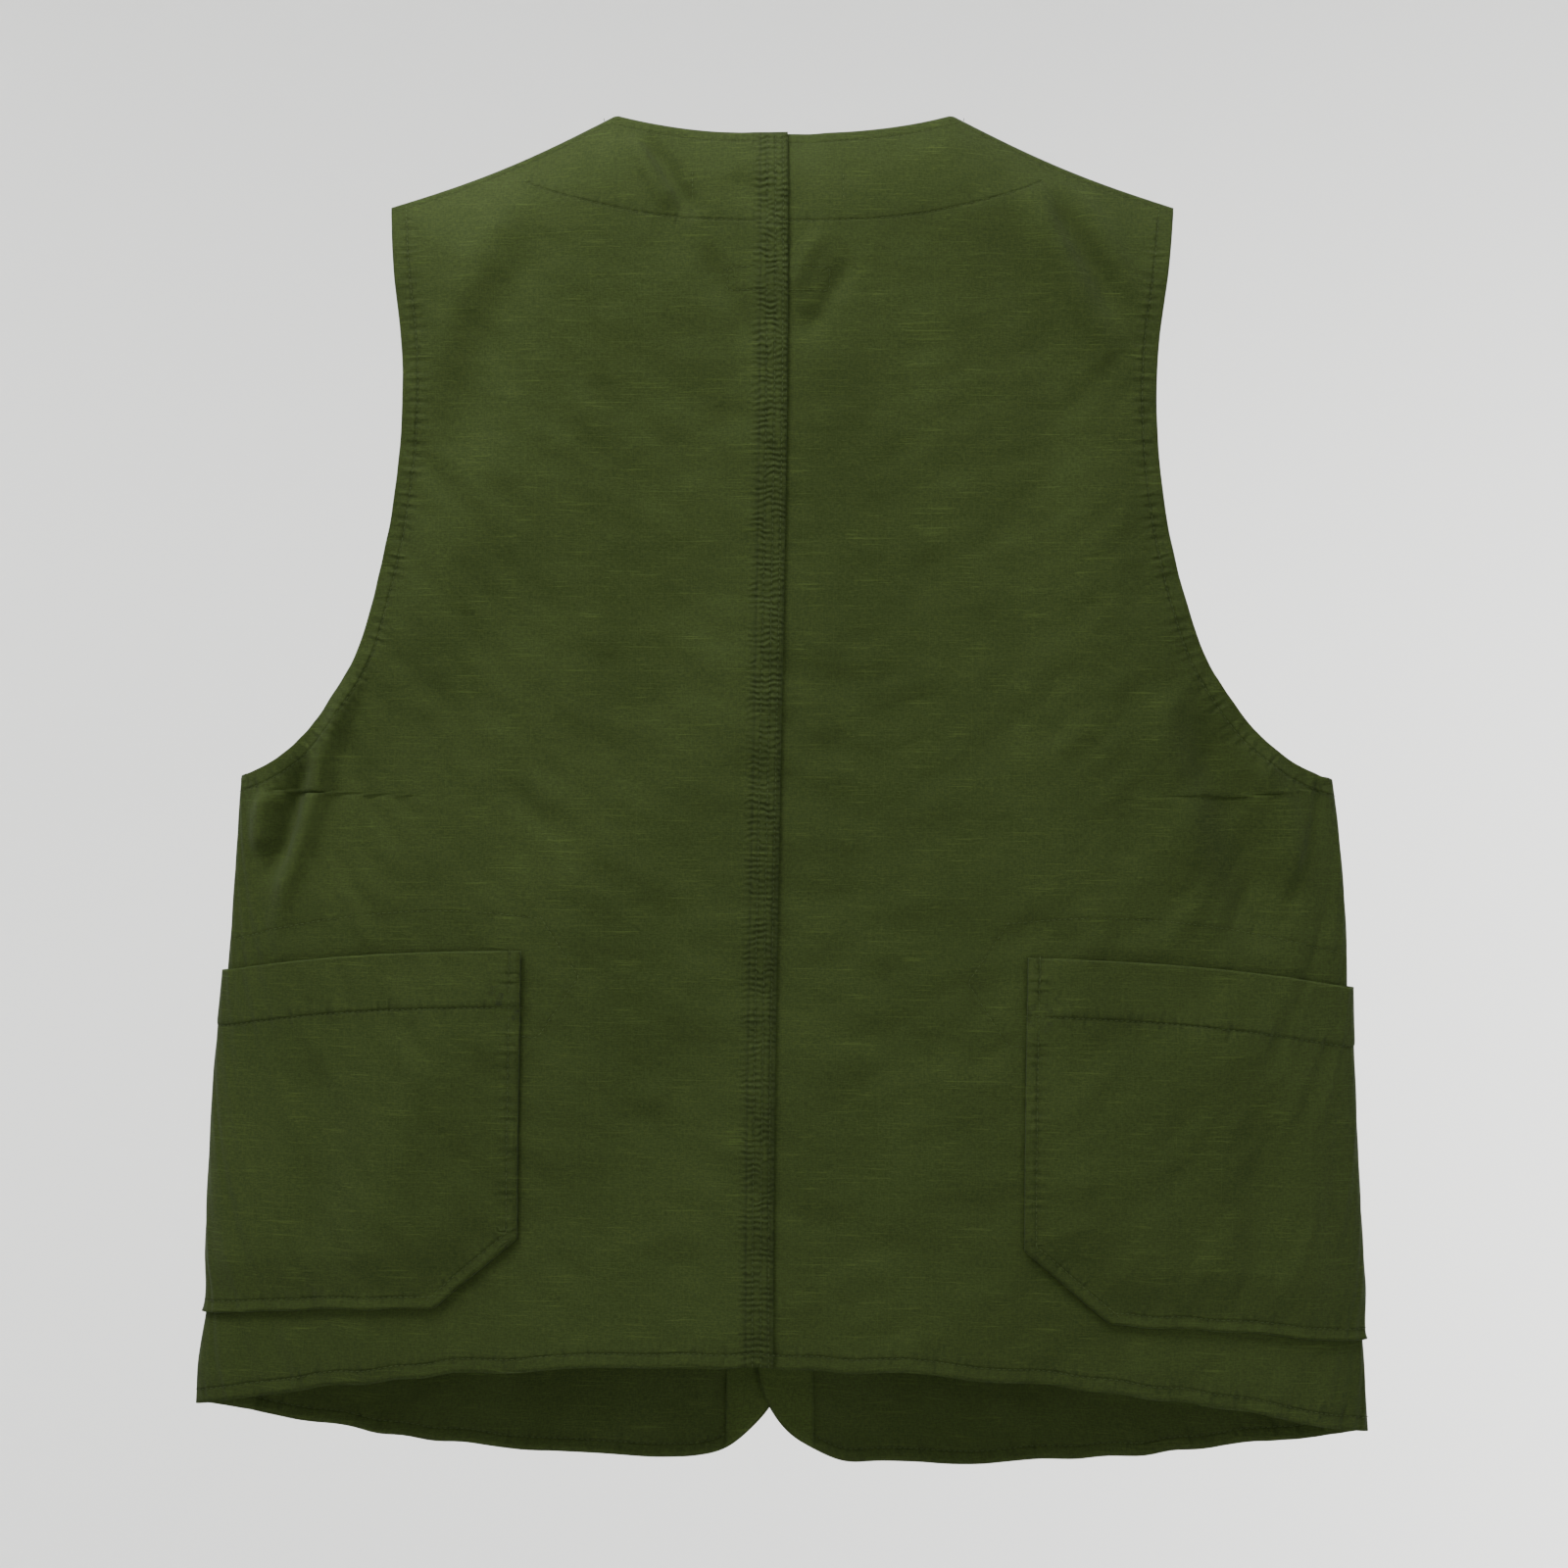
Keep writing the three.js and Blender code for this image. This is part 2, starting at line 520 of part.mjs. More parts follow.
function flapShank(side) {
  return shank(side, FLAP_BUTTON_ANGLE, FLAP_BUTTON_Z, LAYER + CHEST_POCKET_FULLNESS, FLAP_REST_LIFT);
}

// ---------- inside pieces ----------
// Inside pieces hang a little further off where the cloth rolls over the hanger.
function liningLift(x, z) {
  return -LINING_LAYER - ROLL_EASE * (1 - shoulderRoll(x, z));
}

function facingLift(x, z) {
  return liningLift(x, z) - LAYER / 2 * nearCentre(x);
}

function backNeckFacing() {
  const end = backAngle(NECK_FACING_X, NECK_Z);
  const place = (u, v) => {
    const angle = lerp(-end, end, u);
    const x = HALF_CHEST * Math.sin(angle);
    const high = Math.min(backTopZ(x) - EDGE_INSET, shoulderZ(x) - 4);
    const low = BACK_NECK_Z - NECK_FACING_DEPTH + (Math.abs(x) / NECK_FACING_X) ** 3 * 24;
    return [angle, lerp(Math.min(low, high - 6), high, v)];
  };
  return cloth(1, steps(32), steps(8), place, (u, v, x, z) => facingLift(x, z), THIN_CLOTH);
}

function armholeFacing(side) {
  const RIDGE = 0.5;
  const rows = [...steps(10).map((t) => lerp(0.03, 1 - 0.03, t) * RIDGE), RIDGE];
  const path = [...rows, ...rows.slice(0, -1).reverse().map((t) => 1 - t)];
  const slope = new THREE.Vector2(-(TIP_X - NECK_X), SHOULDER_DROP).normalize();
  const spot = (t, inwardShare) => {
    const up = t <= RIDGE ? t / RIDGE : (1 - t) / RIDGE;
    const point = armhole.getPointAt(up);
    const tangent = armhole.getTangentAt(up);
    const inward = new THREE.Vector2(-tangent.z, tangent.x).lerp(slope, up ** 4).normalize();
    const width = lerp(EDGE_INSET, ARMHOLE_FACING_WIDTH, inwardShare);
    return [point.x + inward.x * width, point.z + inward.y * width];
  };
  return skinSolid(steps(2), path, (u, v, way) => {
    const [x, z] = spot(v, u);
    if (v === RIDGE) {
      const low = LINING_LAYER + SEAM_HALF;
      return new THREE.Vector3(side * x, 0, shoulderZ(x) - low + way * THIN_CLOTH * 0.7);
    }
    const angle = v < RIDGE ? backAngle(x, z) : frontAngle(x, z);
    const off = liningLift(x, z) + way * THIN_CLOTH / 2;
    const point = middle(angle, z).addScaledVector(outward(angle, z), off);
    point.x *= side;
    return point;
  });
}

function waistBand(side) {
  const bottomZ = (t) => BAND_TOP_Z - BAND_HEIGHT - BAND_SIDE_DROP * t;
  const topZ = (t) => BAND_TOP_Z - BAND_SIDE_DROP * t;
  const end = THREE.MathUtils.degToRad(80);
  const inner = (v) => onBack(
    lerp(BAND_POINT_X, BAND_INNER_X, Math.abs(2 * v - 1)), lerp(bottomZ(0), topZ(0), v));
  const outer = (v) => [end, lerp(bottomZ(1), topZ(1), v)];
  const bottom = (u) => [lerp(inner(0)[0], end, u), bottomZ(u)];
  const top = (u) => [lerp(inner(1)[0], end, u), topZ(u)];
  return cloth(side, steps(8), steps(4), patch(bottom, top, inner, outer), () => -LINING_LAYER, THIN_CLOTH);
}

function backPatch(fromX, toX, low, high, lift) {
  const place = (u, v) => onBack(lerp(fromX, toX, u), lerp(low, high, v));
  return cloth(1, steps(6), steps(2), place, (u, v, x, z) => lift(x, z), THIN_CLOTH);
}

const SIZE_LABEL = { left: 29, right: -23.5, top: -79, height: 12 };
const NECK_LABEL = { left: 47, right: -30.5, top: -31, height: 12.5 };

function sizeLabel() {
  const { left, right, top, height } = SIZE_LABEL;
  return backPatch(right, left, top - height, top, facingLift);
}

function neckLabel() {
  const { left, right, top, height } = NECK_LABEL;
  return backPatch(right, left, top - height, top, (x, z) => facingLift(x, z) - THIN_CLOTH - 2 * GAP);
}

// ---------- assembly ----------
const vest = new THREE.Group();
const OLIVE = 0x4b5a2c;
const LINING = 0x424f27;
const BUTTON_BROWN = 0x3a3022;
const THREAD = 0x59663a;
const LABEL = 0x2e3520;

function add(name, geometry, colour, roughness = 0.9) {
  const plain = geometry.clone();
  plain.computeVertexNormals();
  const mesh = new THREE.Mesh(plain, new THREE.MeshStandardMaterial({ color: colour, roughness }));
  mesh.name = name;
  vest.add(mesh);
}

for (const [word, side] of [['left', 1], ['right', -1]]) {
  add(`back_${word}_panel`, backPanel(side), OLIVE);
  add(`${word}_front_side`, frontSide(side), OLIVE);
  add(`${word}_front_opening`, frontOpening(side), OLIVE);
  add(`${word}_front_facing`, frontFacing(side), LINING);
  add(`${word}_armhole_facing`, armholeFacing(side), LINING);
  add(`${word}_lower_pocket`, lowerPocket(side), OLIVE);
  add(`${word}_chest_pocket`, chestPocket(side), OLIVE);
  add(`${word}_chest_flap`, chestFlap(side), OLIVE);
  add(`${word}_flap_button`, flapButton(side), BUTTON_BROWN, 0.4);
  add(`${word}_flap_button_thread`, flapShank(side), THREAD);
  add(`${word}_waist_band`, waistBand(side), LINING);
}
add('back_neck_facing', backNeckFacing(), LINING);
add('size_label', sizeLabel(), LABEL);
add('neck_label', neckLabel(), LABEL);
buttonHeights().forEach((z, k) => {
  add(`front_button_${k + 1}`, button(1, Math.PI, z, LAYER, BUTTON_D), BUTTON_BROWN, 0.4);
  add(`front_button_thread_${k + 1}`, shank(1, Math.PI, z, -LAYER, LAYER), THREAD);
});

export default vest;
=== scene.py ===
"""A fishing vest hanging at rest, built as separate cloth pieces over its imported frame.

Lengths are in metres. +Z is up, -Y is out of the wearer's front, +X is the wearer's left.
"""

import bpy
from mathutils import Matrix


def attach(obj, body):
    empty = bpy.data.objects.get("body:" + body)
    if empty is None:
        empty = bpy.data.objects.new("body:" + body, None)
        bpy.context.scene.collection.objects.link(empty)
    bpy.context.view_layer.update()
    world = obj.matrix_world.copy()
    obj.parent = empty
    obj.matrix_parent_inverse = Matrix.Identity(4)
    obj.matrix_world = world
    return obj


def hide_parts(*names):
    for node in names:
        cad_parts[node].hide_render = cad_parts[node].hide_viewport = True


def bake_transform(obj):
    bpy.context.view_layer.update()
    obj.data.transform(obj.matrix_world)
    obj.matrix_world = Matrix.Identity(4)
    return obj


bl_info = {
    "name": "Fishing vest",
    "version": (1, 0, 0),
    "blender": (4, 5, 0),
    "location": "View3D > Sidebar > Vest",
    "description": "Makes a fishing vest from its cloth pieces, seams, buttons and stitches",
    "category": "Object",
}

import math

import bpy
import numpy as np
from bpy.props import FloatProperty, FloatVectorProperty, PointerProperty
from mathutils import Vector

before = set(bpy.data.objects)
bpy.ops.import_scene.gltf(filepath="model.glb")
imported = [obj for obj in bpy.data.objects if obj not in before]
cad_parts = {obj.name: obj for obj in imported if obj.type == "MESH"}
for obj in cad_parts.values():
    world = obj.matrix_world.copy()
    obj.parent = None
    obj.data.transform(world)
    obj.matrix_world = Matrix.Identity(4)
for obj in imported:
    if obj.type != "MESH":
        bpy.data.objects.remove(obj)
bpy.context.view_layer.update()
MM = 0.001


# ---------- heights and widths of the hanging body, and the thickness of each cloth ----------
BODY_CLOTH = 0.9 * MM
POCKET_CLOTH = 1.2 * MM
FLAP_CLOTH = 1.3 * MM
LINING_CLOTH = 0.7 * MM
LABEL_CLOTH = 0.6 * MM
NECK_Z = 3 * MM
BACK_NECK_Z = NECK_Z - 11 * MM
TIP_Z = NECK_Z - 48 * MM
FOOT_Z = NECK_Z - 344 * MM
BACK_HEM_Z = BACK_NECK_Z - 634 * MM
SIDE_HEM_Z = BACK_HEM_Z - 31 * MM
FRONT_HEM_Z = BACK_HEM_Z - 60 * MM
HALF_CHEST = 281 * MM
HALF_HEM = 300 * MM
TIP_X = 203 * MM
NECK_X = 87 * MM
NECK_DEPTH = 22 * MM
HEM_DEPTH = 33 * MM
SHOULDER_ROLL = 70 * MM
SEAM_HALF = 0.44 * MM
LAYER = 1.6 * MM
LINING_LAYER = 1.8 * MM
FOLD_TOP = (66 * MM, NECK_Z - 77 * MM)
FOLD_HEM_X = 117 * MM
LAP = 20 * MM
CUTAWAY_RADIUS = 56 * MM
CUTAWAY_X = 8 * MM
TOP_CORNER_Z = NECK_Z - 217 * MM
LAP_SPREAD_X = 58 * MM
CENTRE_EDGE_X = 2 * MM
CENTRE_LAP = 12 * MM
CENTRE_SPREAD = 24 * MM
POCKET = {
    "inner": 129 * MM, "front": 150 * MM, "top": -431 * MM, "top_slope": 15 * MM, "chamfer_z": -579 * MM,
    "chamfer_x": 43 * MM, "bottom": -616 * MM, "bottom_slope": 12 * MM, "hem": 29.5 * MM,
}
CHEST = {"near": 114 * MM, "far": 210 * MM, "top": -300 * MM, "bottom": -408 * MM}
FLAP = {"hinge": -282 * MM, "height": 52 * MM, "corner": 12 * MM, "over": 3 * MM, "button_down": 36 * MM}
FACING_WIDTH = 44 * MM

FELL_ROWS = (0.4 * MM, 4.4 * MM, 8.6 * MM)
ROOT, LEFT, RIGHT = "vest_body", "left_front", "right_front"
STITCH_ROWS = {}


def smooth(t):
    """Smoothstep of t clipped to 0..1."""
    t = np.clip(t, 0.0, 1.0)
    return t * t * (3 - 2 * t)


def lerp(a, b, t):
    """Linear blend."""
    return a + (b - a) * t


# ---------- the hanging body's surface: angle 0 is the centre back, pi the centre front ----------
def half_width(z):
    """Half width of the flattened tube at height z."""
    return np.where(z > FOOT_Z, HALF_CHEST, lerp(HALF_CHEST, HALF_HEM, (FOOT_Z - z) / (FOOT_Z - SIDE_HEM_Z)))


def half_depth(z):
    """Half depth of the flattened tube at height z."""
    return lerp(NECK_DEPTH, HEM_DEPTH, (NECK_Z - z) / (NECK_Z - BACK_HEM_Z))


def shoulder_z(x):
    """Height of the shoulder seam at distance x from the centre."""
    return NECK_Z - 48 * MM * np.maximum(0.0, np.abs(x) - NECK_X) / (TIP_X - NECK_X)


def shoulder_roll(x, z):
    """0 at the shoulder seam, 1 where the cloth hangs at its full depth."""
    return 1 - (1 - np.clip((shoulder_z(x) - z) / SHOULDER_ROLL, 0, 1)) ** 3


def middle(angle, z):
    """Middle of the body cloth."""
    x = half_width(z) * np.sin(angle)
    roll = shoulder_roll(x, z)
    seam = np.sign(np.cos(angle)) * SEAM_HALF * (1 - roll)
    return np.stack([x, seam + half_depth(z) * np.cos(angle) * roll, z + 0 * x], axis=-1)


def outward(angle, z):
    """Unit direction out of the body cloth."""
    x = half_width(z) * np.sin(angle)
    low = np.minimum(z, shoulder_z(x) - 3 * MM)
    across = middle(angle + 1e-3, low) - middle(angle - 1e-3, low)
    up = middle(angle, low) - middle(angle, low - 1 * MM)
    normal = np.cross(up, across)
    return normal / np.linalg.norm(normal, axis=-1, keepdims=True)


def back_angle(x, z):
    """Angle on the back of a place at distance x from the centre."""
    return np.arcsin(np.clip(x / half_width(z), -1, 1))


def front_angle(x, z):
    """Angle on the front of a place at distance x from the centre."""
    return np.pi - back_angle(x, z)


# ---------- folds of the hanging cloth: (points across and up, half width, height), all mm ----------
BACK_FOLDS = [
    ([(81, -8), (72, -22), (64, -36), (54, -52)], 5, 2.0),
    ([(74, -8), (63, -24), (55, -38), (44, -56)], 6, -2.4),
    ([(28, -30), (15, -42), (8, -60)], 7, -1.1),
    ([(134, -24), (150, -66), (172, -112), (184, -168)], 13, 1.5),
    ([(120, -36), (138, -84), (158, -134), (166, -190)], 17, -1.2),
    ([(42, -66), (32, -88), (14, -122)], 6, -1.2),
    ([(62, -60), (46, -98), (34, -158)], 10, 1.1),
    ([(-128, -28), (-138, -58), (-152, -90), (-170, -128)], 8, 2.0),
    ([(-136, -32), (-148, -58), (-164, -84), (-178, -112)], 8, -1.9),
    ([(-140, -26), (-156, -48), (-170, -72), (-184, -100)], 7, 1.3),
    ([(-112, -40), (-122, -84), (-140, -130), (-154, -170)], 12, -1.3),
    ([(-36, -68), (-26, -90), (-9, -118)], 6, -1.2),
    ([(-22, -60), (-12, -72), (-4, -96)], 5, 0.9),
    ([(212, -272), (222, -296), (231, -318), (237, -340), (245, -372), (253, -394), (260, -430)], 6, 3.0),
    ([(243, -330), (249, -346), (256, -374), (263, -400)], 7, -3.6),
    ([(262, -346), (268, -358), (270, -384)], 5, 2.2),
    ([(-206, -300), (-220, -326), (-234, -372), (-242, -430)], 15, -3.6),
    ([(-236, -316), (-252, -350), (-262, -400)], 9, 2.0),
    ([(-190, -290), (-202, -340), (-212, -400)], 13, 1.8),
    ([(66, -90), (58, -180), (62, -290)], 26, -1.3),
    ([(-60, -150), (-72, -260), (-66, -360)], 28, -1.4),
    ([(96, -320), (88, -430), (84, -560)], 22, 1.6),
    ([(-84, -380), (-92, -480), (-88, -600)], 22, 1.5),
    ([(36, -470), (44, -560), (40, -640)], 18, -1.5),
    ([(-30, -480), (-40, -570), (-34, -640)], 20, -1.4),
    ([(176, -470), (190, -540), (214, -600)], 16, 1.3),
    ([(-176, -480), (-186, -540), (-200, -610)], 16, 1.5),
    ([(238, -470), (232, -540), (246, -600)], 14, -1.4),
    ([(-232, -470), (-244, -540), (-240, -610)], 15, -1.5),
    ([(150, -150), (170, -230), (186, -300)], 22, 1.5),
    ([(-140, -170), (-160, -240), (-180, -300)], 22, 1.3),
]
FRONT_FOLDS = [
    ([(150, -36), (158, -80), (164, -150)], 10, 2.0),
    ([(128, -30), (134, -90), (138, -170)], 12, -2.0),
    ([(-136, -34), (-146, -90), (-150, -160)], 11, 2.0),
    ([(-116, -30), (-124, -110), (-130, -190)], 12, -1.8),
    ([(226, -330), (238, -390), (246, -450)], 9, 2.4),
    ([(-230, -330), (-240, -380), (-250, -450)], 10, 2.4),
    ([(60, -300), (66, -420), (62, -560)], 16, 1.4),
    ([(-58, -320), (-64, -440), (-60, -580)], 16, 1.4),
    ([(30, -260), (40, -330), (52, -400)], 9, -0.9),
    ([(-100, -440), (-96, -540), (-104, -640)], 14, -1.3),
    ([(104, -440), (98, -560), (108, -650)], 14, -1.3),
]


def distance_to_line(points, line):
    """Distance to a polyline, minus on its left hand, and how far along it that is, for n points of 2 numbers."""
    best = np.full(len(points), 1e9)
    hand = np.ones(len(points))
    along = np.zeros(len(points))
    run = 0.0
    for a, b in zip(line[:-1], line[1:]):
        span = b - a
        length = float(np.hypot(*span))
        if length < 1e-9:
            continue
        t = np.clip(((points - a) @ span) / length**2, 0, 1)
        gap = np.hypot(*(points - (a + t[:, None] * span)).T)
        near = gap < best
        best[near] = gap[near]
        turn = (points[near] - a) @ np.array([span[1], -span[0]])
        hand[near] = np.where(turn < 0, -1.0, 1.0)
        along[near] = run + t[near] * length
        run += length
    return best * hand, along


def rounded_line(points, count=24):
    """A curve through all the points, with chord-spaced tangents."""
    points = np.array(points, float)
    gaps = np.maximum(np.hypot(*np.diff(points, axis=0).T), 1e-9)
    knots = np.concatenate([[0], np.cumsum(np.sqrt(gaps))])
    slopes = np.gradient(points, knots, axis=0)
    out = []
    for k in range(len(points) - 1):
        t = np.linspace(0, 1, count, endpoint=k == len(points) - 2)[:, None]
        step = knots[k + 1] - knots[k]
        out.append(
            (2 * t**3 - 3 * t**2 + 1) * points[k] + (t**3 - 2 * t**2 + t) * step * slopes[k]
            + (3 * t**2 - 2 * t**3) * points[k + 1] + (t**3 - t**2) * step * slopes[k + 1]
        )
    return np.concatenate(out)


def even_line(points, shares):
    """Points of a polyline at shares of its length."""
    points = np.asarray(points, float)
    run = np.concatenate([[0], np.cumsum(np.hypot(*np.diff(points, axis=0).T))])
    at = np.asarray(shares) * run[-1]
    return np.stack([np.interp(at, run, points[:, 0]), np.interp(at, run, points[:, 1])], axis=-1)


class Crumple:
    """Small soft unevenness of worn cotton, from a fixed set of waves."""

    def __init__(self, seed, count, shortest, longest, upright):
        rng = np.random.default_rng(seed)
        self.length = shortest * (longest / shortest) ** rng.random(count)
        turn = rng.normal(0, upright, count)
        self.wave = np.stack([np.cos(turn), np.sin(turn)], axis=-1) * (2 * np.pi / self.length)[:, None]
        self.phase = rng.random(count) * 2 * np.pi

    def __call__(self, x, z):
        """Height in metres at (x, z), about 1 in units of its strength."""
        total = np.zeros(np.shape(x))
        for wave, phase, length in zip(self.wave, self.phase, self.length):
            total = total + np.sin(wave[0] * x + wave[1] * z + phase) * (length / self.length.max()) ** 0.6
        return total / math.sqrt(len(self.length))


HANGING_WAVES = Crumple(3, 9, 0.07, 0.19, 0.22)
SMALL_CRUMPLES = Crumple(8, 26, 0.018, 0.06, 1.3)


def fold_height(angle, x, z, side, settings):
    """How far the cloth stands off its smooth shape."""
    flat = np.stack([np.ravel(x * side), np.ravel(z)], axis=-1) / MM
    on_back = np.cos(np.ravel(angle)) > 0
    height = np.zeros(len(flat))
    for folds, here in ((BACK_FOLDS, on_back), (FRONT_FOLDS, ~on_back)):
        if not here.any():
            continue
        for line, width, tall in folds:
            curve = rounded_line(line, 8)
            gap, along = distance_to_line(flat[here], curve)
            length = np.hypot(*np.diff(curve, axis=0).T).sum()
            ends = smooth(np.minimum(along, length - along) / (0.35 * length) + 0.15)
            height[here] += tall * MM * swell(gap, 0, width) * ends
    height = height.reshape(np.shape(x))
    free = smooth((NECK_Z - z) / 0.25)
    height = height * settings.fold_strength * smooth(np.abs(np.cos(angle)) / 0.12)
    height = height + settings.hang_waves * MM * free * HANGING_WAVES(x * side, z)
    small = SMALL_CRUMPLES(x * side, z + 0.3 * np.cos(angle))
    height = height + settings.crumples * MM * (0.4 + 0.6 * free) * small
    at_side = smooth(np.abs(np.cos(angle)) / 0.35)
    sewn = smooth((shoulder_z(x) - z) / (14 * MM))
    return height * (0.25 + 0.75 * at_side) * sewn


def swell(value, centre, width):
    """1 at the centre, fading to 0 over a few widths."""
    return np.exp(-(((value - centre) / width) ** 2))


def settle(points):
    """The vest's lean on its hanger: its foot drifts to the left and hangs lower on the right, and its sides swell."""
    points = np.array(points)
    down = smooth((NECK_Z - 0.06 - points[..., 2]) / 0.56)
    low = smooth((-0.27 - points[..., 2]) / 0.30)
    points[..., 2] += 7.5 * MM * low * np.clip(points[..., 0] / HALF_HEM, -1.1, 1.1)
    x, z = points[..., 0].copy(), points[..., 2].copy()
    reach = np.clip(np.abs(x) / HALF_HEM, 0, 1) ** 3
    points[..., 0] += 7.5 * MM * down * (1 - reach)
    right, left = reach * (x < 0), reach * (x > 0)
    points[..., 0] -= right * (6.5 * MM * swell(z, -0.40, 0.09) + 3.5 * MM * down)
    points[..., 0] += left * (5 * MM * smooth((-0.60 - z) / 0.05) + 2.5 * MM * swell(z, -0.52, 0.09))
    narrow = np.clip(np.abs(x) / TIP_X, 0, 1) ** 3
    points[..., 0] += narrow * (x < 0) * 4.5 * MM * swell(z, -0.18, 0.10)
    points[..., 0] += narrow * (x > 0) * 1.5 * MM * swell(z, -0.08, 0.05)
    ripple = np.sin(x / 0.0072 + 2 * np.sin(x / 0.031)) + 0.8 * np.sin(x / 0.0123 + 1.3)
    points[..., 2] += 0.55 * MM * ripple * smooth((-0.56 - z) / 0.09)
    out = np.clip((np.abs(points[..., 0]) - NECK_X) / (TIP_X - NECK_X), 0, 1)
    under = (shoulder_z(points[..., 0]) - points[..., 2]) / (70 * MM)
    points[..., 2] -= 3.6 * MM * np.sin(np.pi * out) * (1 - smooth(under))
    return points


class Layer:
    """One cloth lying on or in the body: places points of (angle, z) in space."""

    def __init__(self, side, lift=0.0):
        self.side = side
        self.lift = lift

    def at(self, angle, z, extra=0.0):
        """Points and outward directions."""
        angle, z = np.asarray(angle, float), np.asarray(z, float)
        x = half_width(z) * np.sin(angle)
        lift = self.lift(angle, z) if callable(self.lift) else self.lift
        off = lift + extra + fold_height(angle, x, z, self.side, bpy.context.scene.vest)
        normal = outward(angle, z)
        points = middle(angle, z) + normal * np.asarray(off + 0 * x)[..., None]
        points[..., 0] *= self.side
        normal = normal.copy()
        normal[..., 0] *= self.side
        return settle(points), normal


def girth(angle, z):
    """Flat distance from the centre back round the body to an angle."""
    grid = np.linspace(-0.5, np.pi + 0.5, 900)
    speed = np.hypot(0.290 * np.cos(grid), 0.028 * np.sin(grid))
    run = np.concatenate([[0], np.cumsum((speed[1:] + speed[:-1]) / 2 * np.diff(grid))])
    run -= np.interp(0, grid, run)
    return np.interp(angle, grid, run) * half_width(z) / 0.290


def flat_line(line):
    """A line of (angle, z) laid flat."""
    line = np.asarray(line, float)
    return np.stack([girth(line[:, 0], line[:, 1]), line[:, 1]], axis=-1)


# ---------- patches between four lines of (angle, z) ----------
def patch(bottom, top, inner, outer, us, vs):
    """Grid of (angle, z), shape (rows, columns, 2), between lines that are functions of 0..1 arrays."""
    us, vs = np.asarray(us, float), np.asarray(vs, float)
    ends = np.array([0.0, 1.0])
    low, high = bottom(us)[None], top(us)[None]
    near, far = inner(vs)[:, None], outer(vs)[:, None]
    u, v = us[None, :, None], vs[:, None, None]
    (a, b), (c, d) = bottom(ends), top(ends)
    return ((1 - v) * low + v * high + (1 - u) * near + u * far
            - (1 - u) * (1 - v) * a - u * (1 - v) * b - (1 - u) * v * c - u * v * d)


def pair(a, b):
    """Stack two arrays as (angle, z)."""
    a, b = np.broadcast_arrays(a, b)
    return np.stack([a, b], axis=-1)


def steps(*spans):
    """Shares from several (start, end, count) spans, each share once."""
    return np.unique(np.round(np.concatenate([np.linspace(*span) for span in spans]), 6))


SCOOP = 85.5 * MM
ARMHOLE = rounded_line(
    [(HALF_CHEST - SCOOP * across, lerp(FOOT_Z, TIP_Z, up))
     for across, up in [(0, 0), (0.1, 0.011), (0.23, 0.03), (0.4, 0.07), (0.57, 0.134), (0.72, 0.21), (0.82, 0.302),
                        (0.935, 0.46), (0.995, 0.62), (1.0, 0.74)]] + [(TIP_X - 3.2 * MM, lerp(FOOT_Z, TIP_Z, 0.89)),
                                                                       (TIP_X, TIP_Z)])
FRONT_NECK = rounded_line([
    (NECK_X, NECK_Z), (NECK_X - 7 * MM, NECK_Z - 34 * MM), FOLD_TOP, (FOLD_TOP[0] - 26 * MM, FOLD_TOP[1] - 54 * MM),
    (FOLD_TOP[0] - 56 * MM, FOLD_TOP[1] - 102 * MM), (-LAP, TOP_CORNER_Z)])
FOOT_ROW = 0.5


def neck_share_at_fold():
    """Share of the front neck edge above the fold line."""
    run = np.concatenate([[0], np.cumsum(np.hypot(*np.diff(FRONT_NECK, axis=0).T))])
    k = int(np.argmin(np.hypot(*(FRONT_NECK - np.array(FOLD_TOP)).T)))
    return run[k] / run[-1]


NECK_FOLD_SHARE = neck_share_at_fold()


def outer_edge(v):
    """Side seam and armhole as (x, z) for v in 0..1."""
    v = np.asarray(v, float)
    z = lerp(SIDE_HEM_Z, FOOT_Z, v / FOOT_ROW)
    arm = even_line(ARMHOLE, np.clip((v - FOOT_ROW) / (1 - FOOT_ROW), 0, 1))
    below = v <= FOOT_ROW
    return np.where(below, half_width(z), arm[:, 0]), np.where(below, z, arm[:, 1])


def back_top_z(x):
    """Neck edge and shoulder seam of the back."""
    neck = NECK_Z - 11 * MM * (1 - np.minimum(1, np.abs(x) / NECK_X) ** 2.5)
    return np.where(np.abs(x) < NECK_X, neck, shoulder_z(x))


def back_hem_z(x):
    """Hem of the back."""
    return BACK_HEM_Z - 31 * MM * (np.abs(x) / HALF_HEM) ** 2.2


def front_hem_z(x):
    """Hem of the front."""
    out = np.maximum(0, x - CUTAWAY_RADIUS) / (HALF_HEM - CUTAWAY_RADIUS)
    return lerp(FRONT_HEM_Z, SIDE_HEM_Z, out**2)


FOLD_HEM_Z = float(front_hem_z(FOLD_HEM_X))


def fold_x(z):
    """The line on which a front folds open."""
    return lerp(FOLD_TOP[0], FOLD_HEM_X, (FOLD_TOP[1] - z) / (FOLD_TOP[1] - FOLD_HEM_Z))


def body_rows(side_count, arm_count):
    """Rows of a body panel, close together at the foot of the armhole and over the hanger."""
    low = np.linspace(0, 1, side_count) * FOOT_ROW
    high = FOOT_ROW + (1 - FOOT_ROW) * (1 - np.cos(np.pi * np.linspace(0, 1, arm_count))) / 2
    mixed = 0.5 * high + 0.5 * np.linspace(FOOT_ROW, 1, arm_count)
    return np.concatenate([low, mixed[1:]])


def near_centre(x):
    """1 over the felled centre seam, 0 beyond it."""
    return smooth((CENTRE_SPREAD - np.abs(x)) / (CENTRE_SPREAD - CENTRE_LAP))


